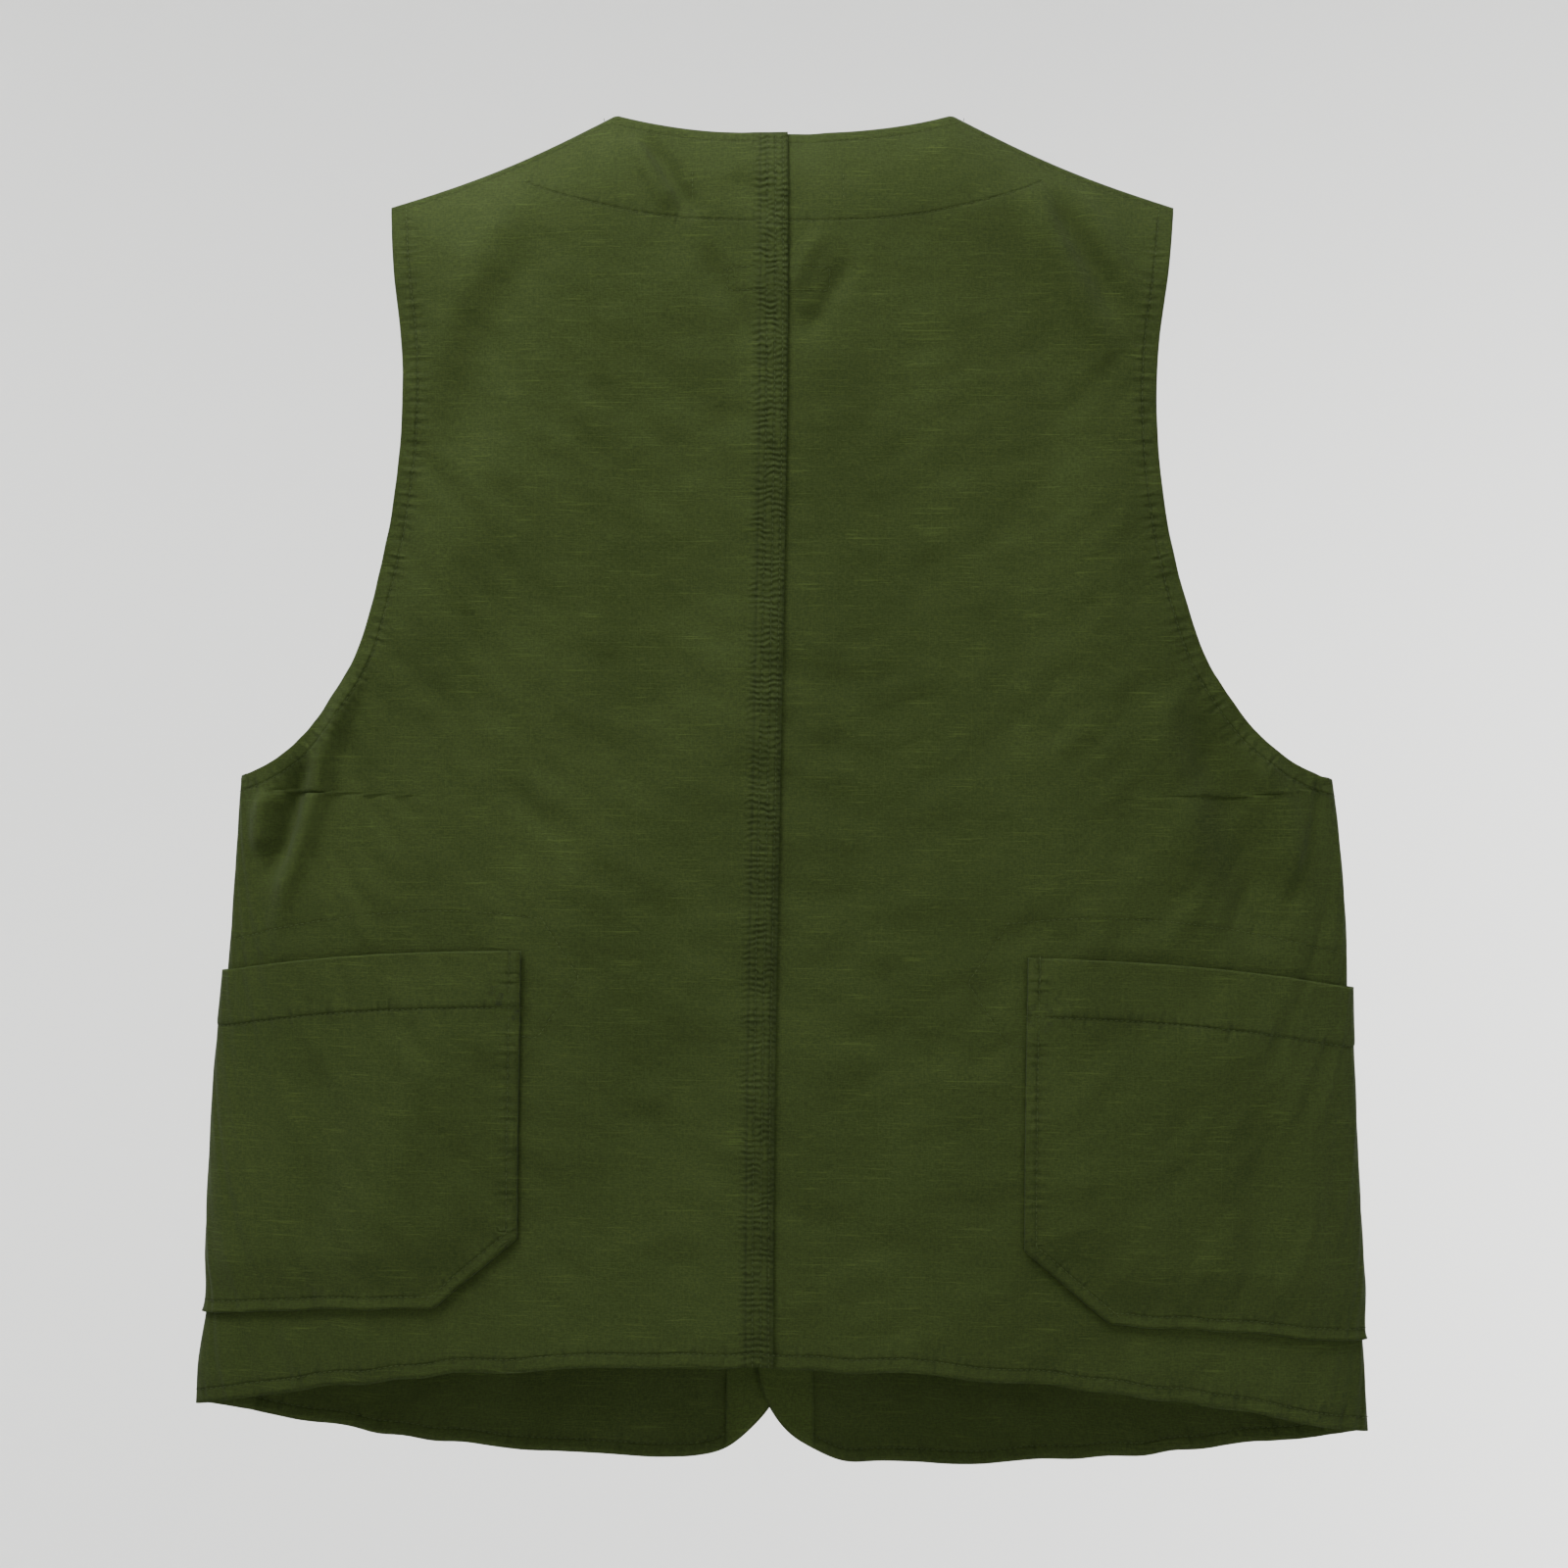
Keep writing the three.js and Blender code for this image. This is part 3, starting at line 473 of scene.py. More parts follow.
def lining_lift(x, z):
    """Inside pieces hang a little further in where the cloth rolls over the hanger."""
    return -LINING_LAYER - 0.8 * MM * (1 - shoulder_roll(x, z)) - LAYER / 2 * near_centre(x)


def lap_lift(side, x):
    """The left front laps over the right one near the centre."""
    return side * LAYER * smooth((LAP_SPREAD_X - x) / (LAP_SPREAD_X - LAP))


# ---------- making meshes ----------
def new_object(name, vertices, faces):
    """A mesh object in the scene, at the origin."""
    mesh = bpy.data.meshes.new(name)
    mesh.from_pydata([tuple(v) for v in vertices], [], faces)
    mesh.validate()
    mesh.polygons.foreach_set("use_smooth", [True] * len(mesh.polygons))
    obj = bpy.data.objects.new(name, mesh)
    bpy.context.scene.collection.objects.link(obj)
    return obj


def grid_faces(rows, columns):
    """Quads of a grid of vertices."""
    index = np.arange(rows * columns).reshape(rows, columns)
    a, b, c, d = index[:-1, :-1], index[:-1, 1:], index[1:, 1:], index[1:, :-1]
    return np.stack([a, b, c, d], axis=-1).reshape(-1, 4)


def write_cloth(obj, laid, gap, run, pull, thickness, material):
    """Give a sheet its flat coordinates, its seam values, its thickness and its material."""
    mesh = obj.data
    loops = np.empty(len(mesh.loops), dtype=np.int32)
    mesh.loops.foreach_get("vertex_index", loops)
    uv = mesh.uv_layers.new(name="cloth_grain")
    uv.data.foreach_set("uv", laid[loops].ravel().astype(np.float32))
    for label, values in (("seam_gap", gap), ("seam_run", run), ("seam_pull", pull)):
        mesh.attributes.new(label, "FLOAT", "POINT").data.foreach_set("value", values.astype(np.float32))
    shell = obj.modifiers.new("cloth_thickness", "SOLIDIFY")
    shell.thickness, shell.offset = thickness, 0.0
    mesh.materials.append(MATERIALS[material])


def cloth(name, layer, grid, seams, body, nodes, thickness=BODY_CLOTH, material="ripstop_cloth",
          finish=None):
    """A cloth piece from a grid of (angle, z); seams are (line of (angle, z), strength) of its stitching."""
    rows, columns = grid.shape[:2]
    angle, z = grid[..., 0], grid[..., 1]
    points, _ = layer.at(angle, z)
    faces = grid_faces(rows, columns)
    flat = points.reshape(-1, 3)
    quad = flat[faces]
    normal = np.cross(quad[:, 1] - quad[:, 0], quad[:, 3] - quad[:, 0])
    _, out = layer.at(angle.ravel()[faces[:, 0]], z.ravel()[faces[:, 0]])
    if (normal * out).sum() < 0:
        faces = faces[:, ::-1]
    obj = new_object(name, flat, faces.tolist())
    laid = np.stack([girth(angle, z), z], axis=-1).reshape(-1, 2)
    gap, along, strength = np.full(len(laid), 0.2), np.zeros(len(laid)), np.zeros(len(laid))
    second = np.full(len(laid), 0.2)
    for k, (line, power) in enumerate(seams):
        d_line, s_line = distance_to_line(laid, flat_line(line))
        near = np.abs(d_line) < np.abs(gap)
        second = np.where(near, np.abs(gap), np.minimum(second, np.abs(d_line)))
        beyond = (s_line < 0.01 * MM) | (s_line > s_line.max() - 0.01 * MM)
        gap[near], along[near] = d_line[near], s_line[near] + 0.37 * k
        strength[near] = np.where(beyond, 0.0, power)[near]
    strength *= smooth((second - np.abs(gap)) / (9 * MM)) * smooth((12 * MM - np.abs(gap)) / (4 * MM))
    write_cloth(obj, laid * np.array([layer.side, 1.0]), gap, along, strength, thickness, finish or material)
    area = flat_area(laid, faces)
    if isinstance(body, tuple):
        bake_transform(obj)
    else:
        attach(obj, body)
    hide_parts(*nodes)
    return obj


def flat_area(laid, faces):
    """Area of the flat cloth."""
    p = laid[np.asarray(faces)]
    x, y = p[..., 0], p[..., 1]
    return float(np.abs((x * np.roll(y, -1, axis=1) - y * np.roll(x, -1, axis=1)).sum(axis=1) / 2).sum())


def stitch_row(group, layer, line, thickness=BODY_CLOTH, inside=False):
    """Remember a row of stitches along a line of (angle, z)."""
    line = np.asarray(line, float)
    laid = flat_line(line)
    run = np.concatenate([[0], np.cumsum(np.hypot(*np.diff(laid, axis=0).T))])
    count = max(6, int(run[-1] / (1.5 * MM)))
    at = np.linspace(0, run[-1], count)
    angle, z = np.interp(at, run, line[:, 0]), np.interp(at, run, line[:, 1])
    way = -1 if inside else 1
    points, normals = layer.at(angle, z, way * (thickness / 2 + 0.06 * MM))
    STITCH_ROWS.setdefault(group, []).append((points, normals * way))


def shifted(line, away, side_sign=1):
    """A line of (angle, z) moved sideways by a flat distance, to its right hand where away is positive."""
    laid = flat_line(line)
    step = np.gradient(laid, axis=0)
    step /= np.maximum(np.hypot(*step.T), 1e-9)[:, None]
    moved = laid + np.stack([step[:, 1], -step[:, 0]], axis=-1) * away * side_sign
    grid = np.linspace(-0.5, np.pi + 0.5, 1200)
    angle = [np.interp(g, girth(grid, np.full(grid.shape, z)), grid) for g, z in moved]
    return np.stack([np.array(angle), moved[:, 1]], axis=-1)


# ---------- shader groups and materials ----------
class Tree:
    """Short words for building a shader tree."""

    def __init__(self, tree):
        self.tree = tree

    def node(self, kind, **values):
        """A node with its named properties set."""
        made = self.tree.nodes.new(kind)
        for key, value in values.items():
            setattr(made, key, value)
        return made

    def put(self, socket, value):
        """Link a socket or set its value."""
        if isinstance(value, bpy.types.NodeSocket):
            self.tree.links.new(value, socket)
        else:
            socket.default_value = value

    def math(self, operation, a, b=0.0, c=0.0):
        """A Math node's result."""
        made = self.node("ShaderNodeMath", operation=operation)
        for socket, value in zip(made.inputs, (a, b, c)):
            self.put(socket, value)
        return made.outputs[0]

    def noise(self, vector, scale, detail=2.0, rough=0.5):
        """A Noise Texture's value."""
        made = self.node("ShaderNodeTexNoise")
        self.put(made.inputs["Vector"], vector)
        made.inputs["Scale"].default_value = scale
        made.inputs["Detail"].default_value = detail
        made.inputs["Roughness"].default_value = rough
        return made.outputs["Fac"]

    def stretch(self, vector, by):
        """A vector times a constant one."""
        made = self.node("ShaderNodeVectorMath", operation="MULTIPLY")
        self.put(made.inputs[0], vector)
        made.inputs[1].default_value = by
        return made.outputs[0]

    def ramp(self, value, low, high, to_low=0.0, to_high=1.0):
        """A value mapped smoothly from one range to another."""
        made = self.node("ShaderNodeMapRange", interpolation_type="SMOOTHSTEP")
        self.put(made.inputs["Value"], value)
        for key, setting in (("From Min", low), ("From Max", high), ("To Min", to_low), ("To Max", to_high)):
            made.inputs[key].default_value = setting
        return made.outputs["Result"]

    def mix(self, share, a, b, blend_type="MIX"):
        """A colour mix."""
        made = self.node("ShaderNodeMix", data_type="RGBA", blend_type=blend_type)
        self.put(made.inputs["Factor"], share)
        self.put(made.inputs[6], a)
        self.put(made.inputs[7], b)
        return made.outputs[2]


def shader_group(name, inputs, outputs):
    """An empty shader group with named sockets."""
    tree = bpy.data.node_groups.new(name, "ShaderNodeTree")
    for label, kind, default in inputs:
        socket = tree.interface.new_socket(name=label, in_out="INPUT", socket_type=kind)
        if default is not None:
            socket.default_value = default
    for label, kind in outputs:
        tree.interface.new_socket(name=label, in_out="OUTPUT", socket_type=kind)
    return tree, Tree(tree), tree.nodes.new("NodeGroupInput"), tree.nodes.new("NodeGroupOutput")


def ripstop_weave():
    """Ripstop cotton: slubs in the weft, faint rip-stop squares and a fine thread grain."""
    tree, t, given, made = shader_group(
        "ripstop_weave",
        [("Grain", "NodeSocketVector", None), ("Square", "NodeSocketFloat", 5.5 * MM)],
        [("Slub", "NodeSocketFloat"), ("Shade", "NodeSocketFloat"), ("Height", "NodeSocketFloat")])
    grain = given.outputs["Grain"]
    split = t.node("ShaderNodeSeparateXYZ")
    t.put(split.inputs[0], grain)
    long_noise = t.noise(t.stretch(grain, (34.0, 900.0, 1.0)), 1.0, 2.0, 0.55)
    slub = t.ramp(long_noise, 0.575, 0.69)
    short = t.ramp(t.noise(t.stretch(grain, (150.0, 1150.0, 1.0)), 1.0, 2.0, 0.6), 0.57, 0.72)
    slub = t.math("MAXIMUM", slub, t.math("MULTIPLY", short, 0.8))
    patchy = t.ramp(t.noise(t.stretch(grain, (60.0, 60.0, 1.0)), 1.0, 1.0), 0.36, 0.62)
    slub = t.math("MULTIPLY", slub, t.math("ADD", t.math("MULTIPLY", patchy, 0.75), 0.25))
    warp_noise = t.ramp(t.noise(t.stretch(grain, (800.0, 26.0, 1.0)), 1.0, 2.0), 0.56, 0.72)
    lines = []
    for axis in (0, 1):
        cell = t.math("DIVIDE", split.outputs[axis], given.outputs["Square"])
        part = t.math("FRACT", cell)
        off = t.math("ABSOLUTE", t.math("SUBTRACT", part, 0.5))
        lines.append(t.ramp(off, 0.5 - 0.07, 0.5))
    square = t.math("MAXIMUM", lines[0], lines[1])
    weft = t.noise(t.stretch(grain, (480.0, 1500.0, 1.0)), 1.0, 2.0, 0.65)
    warp = t.noise(t.stretch(grain, (1300.0, 380.0, 1.0)), 1.0, 2.0, 0.65)
    fine = t.math("ADD", t.math("MULTIPLY", weft, 0.6), t.math("MULTIPLY", warp, 0.4))
    height = t.math("ADD", t.math("MULTIPLY", slub, 0.9), t.math("MULTIPLY", square, 0.32))
    height = t.math("ADD", height, t.math("MULTIPLY", warp_noise, 0.35))
    height = t.math("ADD", height, t.math("MULTIPLY", fine, 0.7))
    t.put(made.inputs["Slub"], t.math("ADD", slub, t.math("MULTIPLY", square, 0.16)))
    t.put(made.inputs["Shade"], t.ramp(fine, 0.38, 0.62))
    t.put(made.inputs["Height"], height)
    return tree


def seam_pucker():
    """The groove of a row of stitches and the small cross puckers beside it, and painted shade for the groove and the
    pucker troughs (Hollow).
    """
    tree, t, given, made = shader_group(
        "seam_pucker",
        [("Gap", "NodeSocketFloat", 0.2), ("Run", "NodeSocketFloat", 0.0), ("Pull", "NodeSocketFloat", 1.0),
         ("Wave", "NodeSocketFloat", 5.4 * MM), ("Reach", "NodeSocketFloat", 5.0 * MM)],
        [("Height", "NodeSocketFloat"), ("Hollow", "NodeSocketFloat")])
    gap, run = t.math("ABSOLUTE", given.outputs["Gap"]), given.outputs["Run"]
    line = t.node("ShaderNodeCombineXYZ")
    t.put(line.inputs[0], run)
    t.put(line.inputs[1], t.math("MULTIPLY", gap, 0.5))
    drift = t.noise(t.stretch(line.outputs[0], (70.0, 90.0, 1.0)), 1.0, 2.0)
    turn = t.math("ADD", t.math("DIVIDE", run, given.outputs["Wave"]), t.math("MULTIPLY", drift, 1.3))
    ripple = t.math("SINE", t.math("MULTIPLY", turn, 2 * math.pi))
    strong = t.ramp(t.noise(t.stretch(line.outputs[0], (150.0, 30.0, 1.0)), 1.0, 1.0), 0.36, 0.66, 0.12, 0.85)
    share = t.math("DIVIDE", gap, given.outputs["Reach"])
    reach = t.math("EXPONENT", t.math("MULTIPLY", t.math("MULTIPLY", share, share), -1.0))
    reach = t.math("MULTIPLY", t.math("MULTIPLY", reach, strong), given.outputs["Pull"])
    thin = t.math("DIVIDE", gap, 0.75 * MM)
    groove = t.math("EXPONENT", t.math("MULTIPLY", t.math("MULTIPLY", thin, thin), -1.0))
    groove = t.math("MULTIPLY", groove, t.math("MINIMUM", given.outputs["Pull"], 1.0))
    height = t.math("SUBTRACT", t.math("MULTIPLY", ripple, reach), groove)
    # painted shade: darker in the troughs of the puckers and in the stitch groove, where shade falls
    hollow = t.math("MULTIPLY", t.math("SUBTRACT", 0.5, t.math("MULTIPLY", ripple, 0.5)), reach)
    t.put(made.inputs["Height"], height)
    hollow = t.math("ADD", t.math("MULTIPLY", hollow, 0.7), t.math("MULTIPLY", groove, 0.42))
    t.put(made.inputs["Hollow"], t.math("MINIMUM", hollow, 1.0))
    return tree


def felled_seam():
    """The centre back seam: a raised band with three grooves of stitching and cramped cross puckers, and painted shade
    in its grooves and pucker troughs with a painted shadow line just past the band's folded edge (Hollow).
    """
    tree, t, given, made = shader_group(
        "felled_seam",
        [("Grain", "NodeSocketVector", None), ("Band", "NodeSocketFloat", 11.4 * MM),
         ("Wave", "NodeSocketFloat", 3.3 * MM)],
        [("Height", "NodeSocketFloat"), ("Hollow", "NodeSocketFloat")])
    split = t.node("ShaderNodeSeparateXYZ")
    t.put(split.inputs[0], given.outputs["Grain"])
    across, up = split.outputs[0], split.outputs[1]
    past = t.math("SUBTRACT", across, given.outputs["Band"])
    band = t.ramp(past, 0.0, 1.1 * MM, 1.0, 0.0)
    near = t.ramp(past, 0.0, 7 * MM, 1.0, 0.0)
    drift = t.noise(t.stretch(given.outputs["Grain"], (110.0, 60.0, 1.0)), 1.0, 2.0)
    turn = t.math("ADD", t.math("DIVIDE", up, given.outputs["Wave"]), t.math("MULTIPLY", drift, 2.2))
    ripple = t.math("SINE", t.math("MULTIPLY", turn, 2 * math.pi))
    cramped = t.ramp(t.noise(t.stretch(given.outputs["Grain"], (140.0, 75.0, 1.0)), 1.0, 2.0), 0.34, 0.62, 0.15, 1.0)
    pucker = t.math("MULTIPLY", t.math("MULTIPLY", ripple, cramped), near)
    grooves = 0.0
    for row in FELL_ROWS:
        off = t.math("DIVIDE", t.math("SUBTRACT", across, row), 0.75 * MM)
        line = t.math("EXPONENT", t.math("MULTIPLY", t.math("MULTIPLY", off, off), -1.0))
        grooves = t.math("ADD", line, grooves)
    dash = t.math("SINE", t.math("MULTIPLY", up, 2 * math.pi / (2.9 * MM)))
    dash = t.math("ADD", t.math("MULTIPLY", dash, 0.3), 0.7)
    grooves = t.math("MULTIPLY", grooves, dash)
    height = t.math("ADD", t.math("MULTIPLY", pucker, 0.6), t.math("MULTIPLY", band, 1.1))
    t.put(made.inputs["Height"], t.math("SUBTRACT", height, t.math("MULTIPLY", grooves, 0.8)))
    # painted shade: darker in the troughs of the seam band's puckers
    low = t.math("SUBTRACT", 0.6, t.math("MULTIPLY", ripple, 0.6))
    low = t.math("MULTIPLY", t.math("MULTIPLY", low, cramped), near)
    # painted shadow: a thin dark line just past the band's folded edge
    rim = t.math("MULTIPLY", t.ramp(past, -0.6 * MM, 0.6 * MM), t.ramp(past, 0.8 * MM, 2.6 * MM, 1.0, 0.0))
    hollow = t.math("ADD", t.math("MULTIPLY", low, 0.6), t.math("MULTIPLY", grooves, 0.55))
    t.put(made.inputs["Hollow"], t.math("MINIMUM", t.math("ADD", hollow, t.math("MULTIPLY", rim, 0.5)), 1.0))
    return tree


def washed_tone():
    """Slow change of colour over washed cotton, and its small wrinkles."""
    tree, t, given, made = shader_group(
        "washed_tone", [("Grain", "NodeSocketVector", None)],
        [("Tone", "NodeSocketFloat"), ("Rumple", "NodeSocketFloat")])
    broad = t.noise(t.stretch(given.outputs["Grain"], (9.0, 7.0, 1.0)), 1.0, 3.0, 0.55)
    close = t.noise(t.stretch(given.outputs["Grain"], (95.0, 70.0, 1.0)), 1.0, 3.0, 0.6)
    tone = t.math("ADD", t.math("MULTIPLY", t.ramp(broad, 0.3, 0.7), 0.6), t.math("MULTIPLY", close, 0.4))
    t.put(made.inputs["Tone"], tone)
    rumple = t.noise(t.stretch(given.outputs["Grain"], (62.0, 84.0, 1.0)), 1.0, 4.0, 0.55)
    t.put(made.inputs["Rumple"], rumple)
    return tree


def colour(values, shade=1.0):
    """A colour property as four numbers."""
    return (values[0] * shade, values[1] * shade, values[2] * shade, 1.0)


def cotton_material(name, base, groups, slub_share, weave_bump, roughness, felled=False):
    """Washed cotton with its weave, seams and tone, and painted shade in the seam grooves and puckers."""
    material = bpy.data.materials.new(name)
    material.use_nodes = True
    t = Tree(material.node_tree)
    shader = next(n for n in material.node_tree.nodes if n.type == "BSDF_PRINCIPLED")
    grain = t.node("ShaderNodeUVMap", uv_map="cloth_grain").outputs[0]
    weave = t.node("ShaderNodeGroup", node_tree=groups["weave"])
    t.put(weave.inputs["Grain"], grain)
    pucker = t.node("ShaderNodeGroup", node_tree=groups["pucker"])
    for label, socket in (("seam_gap", "Gap"), ("seam_run", "Run"), ("seam_pull", "Pull")):
        t.put(pucker.inputs[socket], t.node("ShaderNodeAttribute", attribute_name=label).outputs["Fac"])
    height, hollow = pucker.outputs["Height"], pucker.outputs["Hollow"]
    if felled:
        fell = t.node("ShaderNodeGroup", node_tree=groups["fell"])
        t.put(fell.inputs["Grain"], grain)
        height = t.math("ADD", height, fell.outputs["Height"])
        hollow = t.math("MAXIMUM", hollow, fell.outputs["Hollow"])
    tone = t.node("ShaderNodeGroup", node_tree=groups["tone"])
    t.put(tone.inputs["Grain"], grain)
    dyed = t.mix(tone.outputs["Tone"], colour(base, 0.86), colour(base, 1.12))
    spun = t.mix(weave.outputs["Shade"], (0.78, 0.78, 0.78, 1.0), (1.22, 1.22, 1.2, 1.0))
    dyed = t.mix(1.0, dyed, spun, "MULTIPLY")
    lit = t.mix(t.math("MULTIPLY", weave.outputs["Slub"], slub_share), dyed, colour(base, 2.2))
    # painted shade: the colour darkened towards half of the base in the seam grooves and pucker troughs (Hollow)
    shaded_in_hollows = t.mix(t.math("MULTIPLY", hollow, 0.6), lit, colour(base, 0.5))
    t.put(shader.inputs["Base Color"], shaded_in_hollows)
    t.put(shader.inputs["Roughness"], t.ramp(tone.outputs["Tone"], 0.0, 1.0, roughness + 0.05, roughness - 0.05))
    shader.inputs["Specular IOR Level"].default_value = 0.12
    shader.inputs["Sheen Weight"].default_value = 0.02
    shader.inputs["Sheen Roughness"].default_value = 0.55
    seam_bump = t.node("ShaderNodeBump")
    seam_bump.inputs["Strength"].default_value = 1.0
    seam_bump.inputs["Distance"].default_value = 0.42 * MM
    t.put(seam_bump.inputs["Height"], t.math("ADD", height, t.math("MULTIPLY", tone.outputs["Rumple"], 2.4)))
    weave_node = t.node("ShaderNodeBump")
    weave_node.inputs["Strength"].default_value = weave_bump
    weave_node.inputs["Distance"].default_value = 0.12 * MM
    t.put(weave_node.inputs["Height"], weave.outputs["Height"])
    t.put(weave_node.inputs["Normal"], seam_bump.outputs["Normal"])
    t.put(shader.inputs["Normal"], weave_node.outputs["Normal"])
    return material


def horn_material(base):
    """Polished dark horn-look resin with slow streaks."""
    material = bpy.data.materials.new("horn_button")
    material.use_nodes = True
    t = Tree(material.node_tree)
    shader = next(n for n in material.node_tree.nodes if n.type == "BSDF_PRINCIPLED")
    place = t.node("ShaderNodeTexCoord").outputs["Object"]
    streak = t.ramp(t.noise(t.stretch(place, (120.0, 60.0, 420.0)), 1.0, 3.0, 0.6), 0.35, 0.68)
    t.put(shader.inputs["Base Color"], t.mix(streak, colour(base, 0.6), colour(base, 1.7)))
    scuff = t.noise(place, 900.0, 3.0, 0.6)
    t.put(shader.inputs["Roughness"], t.ramp(scuff, 0.3, 0.75, 0.36, 0.52))
    bump = t.node("ShaderNodeBump")
    bump.inputs["Strength"].default_value = 0.15
    bump.inputs["Distance"].default_value = 0.1 * MM
    t.put(bump.inputs["Height"], scuff)
    t.put(shader.inputs["Normal"], bump.outputs["Normal"])
    shader.inputs["Coat Weight"].default_value = 0.08
    shader.inputs["Coat Roughness"].default_value = 0.15
    return material


def thread_material(base):
    """Spun sewing thread."""
    material = bpy.data.materials.new("sewing_thread")
    material.use_nodes = True
    t = Tree(material.node_tree)
    shader = next(n for n in material.node_tree.nodes if n.type == "BSDF_PRINCIPLED")
    place = t.node("ShaderNodeTexCoord").outputs["Object"]
    twist = t.noise(place, 1400.0, 2.0)
    t.put(shader.inputs["Base Color"], t.mix(twist, colour(base, 0.75), colour(base, 1.2)))
    t.put(shader.inputs["Roughness"], t.ramp(twist, 0.2, 0.8, 0.7, 0.9))
    shader.inputs["Specular IOR Level"].default_value = 0.2
    return material


MATERIALS = {}


def make_materials(settings):
    """All the vest's finishes."""
    groups = {"weave": ripstop_weave(), "pucker": seam_pucker(), "tone": washed_tone(), "fell": felled_seam()}
    MATERIALS["ripstop_cloth"] = cotton_material("ripstop_cloth", settings.cloth_colour, groups, 0.42, 0.55, 0.86)
    MATERIALS["felled_cloth"] = cotton_material(
        "felled_cloth", settings.cloth_colour, groups, 0.42, 0.55, 0.86, felled=True)
    # the lining cloth is painted lighter than the body cloth, as painted light for inside pieces that sit in shade
    MATERIALS["lining_cloth"] = cotton_material("lining_cloth", settings.lining_colour, groups, 0.25, 0.45, 0.9)
    MATERIALS["label_cloth"] = cotton_material("label_cloth", settings.label_colour, groups, 0.12, 0.3, 0.8)
    MATERIALS["button"] = horn_material(settings.button_colour)
    MATERIALS["sewing_thread"] = thread_material(settings.thread_colour)


# ---------- settings ----------
class VestSettings(bpy.types.PropertyGroup):
    """Sizes and colours of the vest."""

    cloth_colour: FloatVectorProperty(
        name="Cloth colour", description="Dyed olive ripstop", size=3, subtype="COLOR",
        default=(0.0230, 0.0345, 0.0066))
    # Lining colour: the cloth's olive painted about a quarter lighter, as painted light for the facings and bands in
    # shade inside
    lining_colour: FloatVectorProperty(
        name="Lining colour", description="Facings and inside bands", size=3, subtype="COLOR",
        default=(0.0285, 0.0428, 0.0085))
    label_colour: FloatVectorProperty(
        name="Label colour", description="Blank woven labels", size=3, subtype="COLOR", default=(0.03, 0.036, 0.018))
    button_colour: FloatVectorProperty(
        name="Button colour", description="Horn-look resin", size=3, subtype="COLOR", default=(0.030, 0.021, 0.0125))
    thread_colour: FloatVectorProperty(
        name="Thread colour", description="Topstitching thread", size=3, subtype="COLOR",
        default=(0.036, 0.052, 0.0125))
    backdrop_colour: FloatVectorProperty(
        name="Backdrop colour", description="Plain pale studio sweep", size=3, subtype="COLOR",
        default=(0.80, 0.80, 0.785))
    stitch_pitch: FloatProperty(
        name="Stitch pitch", description="From one stitch to the next", default=2.9 * MM, unit="LENGTH")
    stitch_length: FloatProperty(
        name="Stitch length", description="Visible length of one stitch", default=2.1 * MM, unit="LENGTH")
    thread_width: FloatProperty(
        name="Thread width", description="Thickness of the thread", default=0.42 * MM, unit="LENGTH")
    fold_strength: FloatProperty(name="Folds", description="Height of the drawn folds", default=2.0, min=0, max=2)
    hang_waves: FloatProperty(name="Hanging waves", description="Soft upright waves, mm", default=1.5, min=0, max=4)
    crumples: FloatProperty(name="Crumples", description="Small unevenness, mm", default=0.7, min=0, max=2)
    button_width: FloatProperty(name="Button width", description="Front buttons", default=15 * MM, unit="LENGTH")
    light_power: FloatProperty(name="Light power", description="Main soft light, W", default=25.0, min=0)


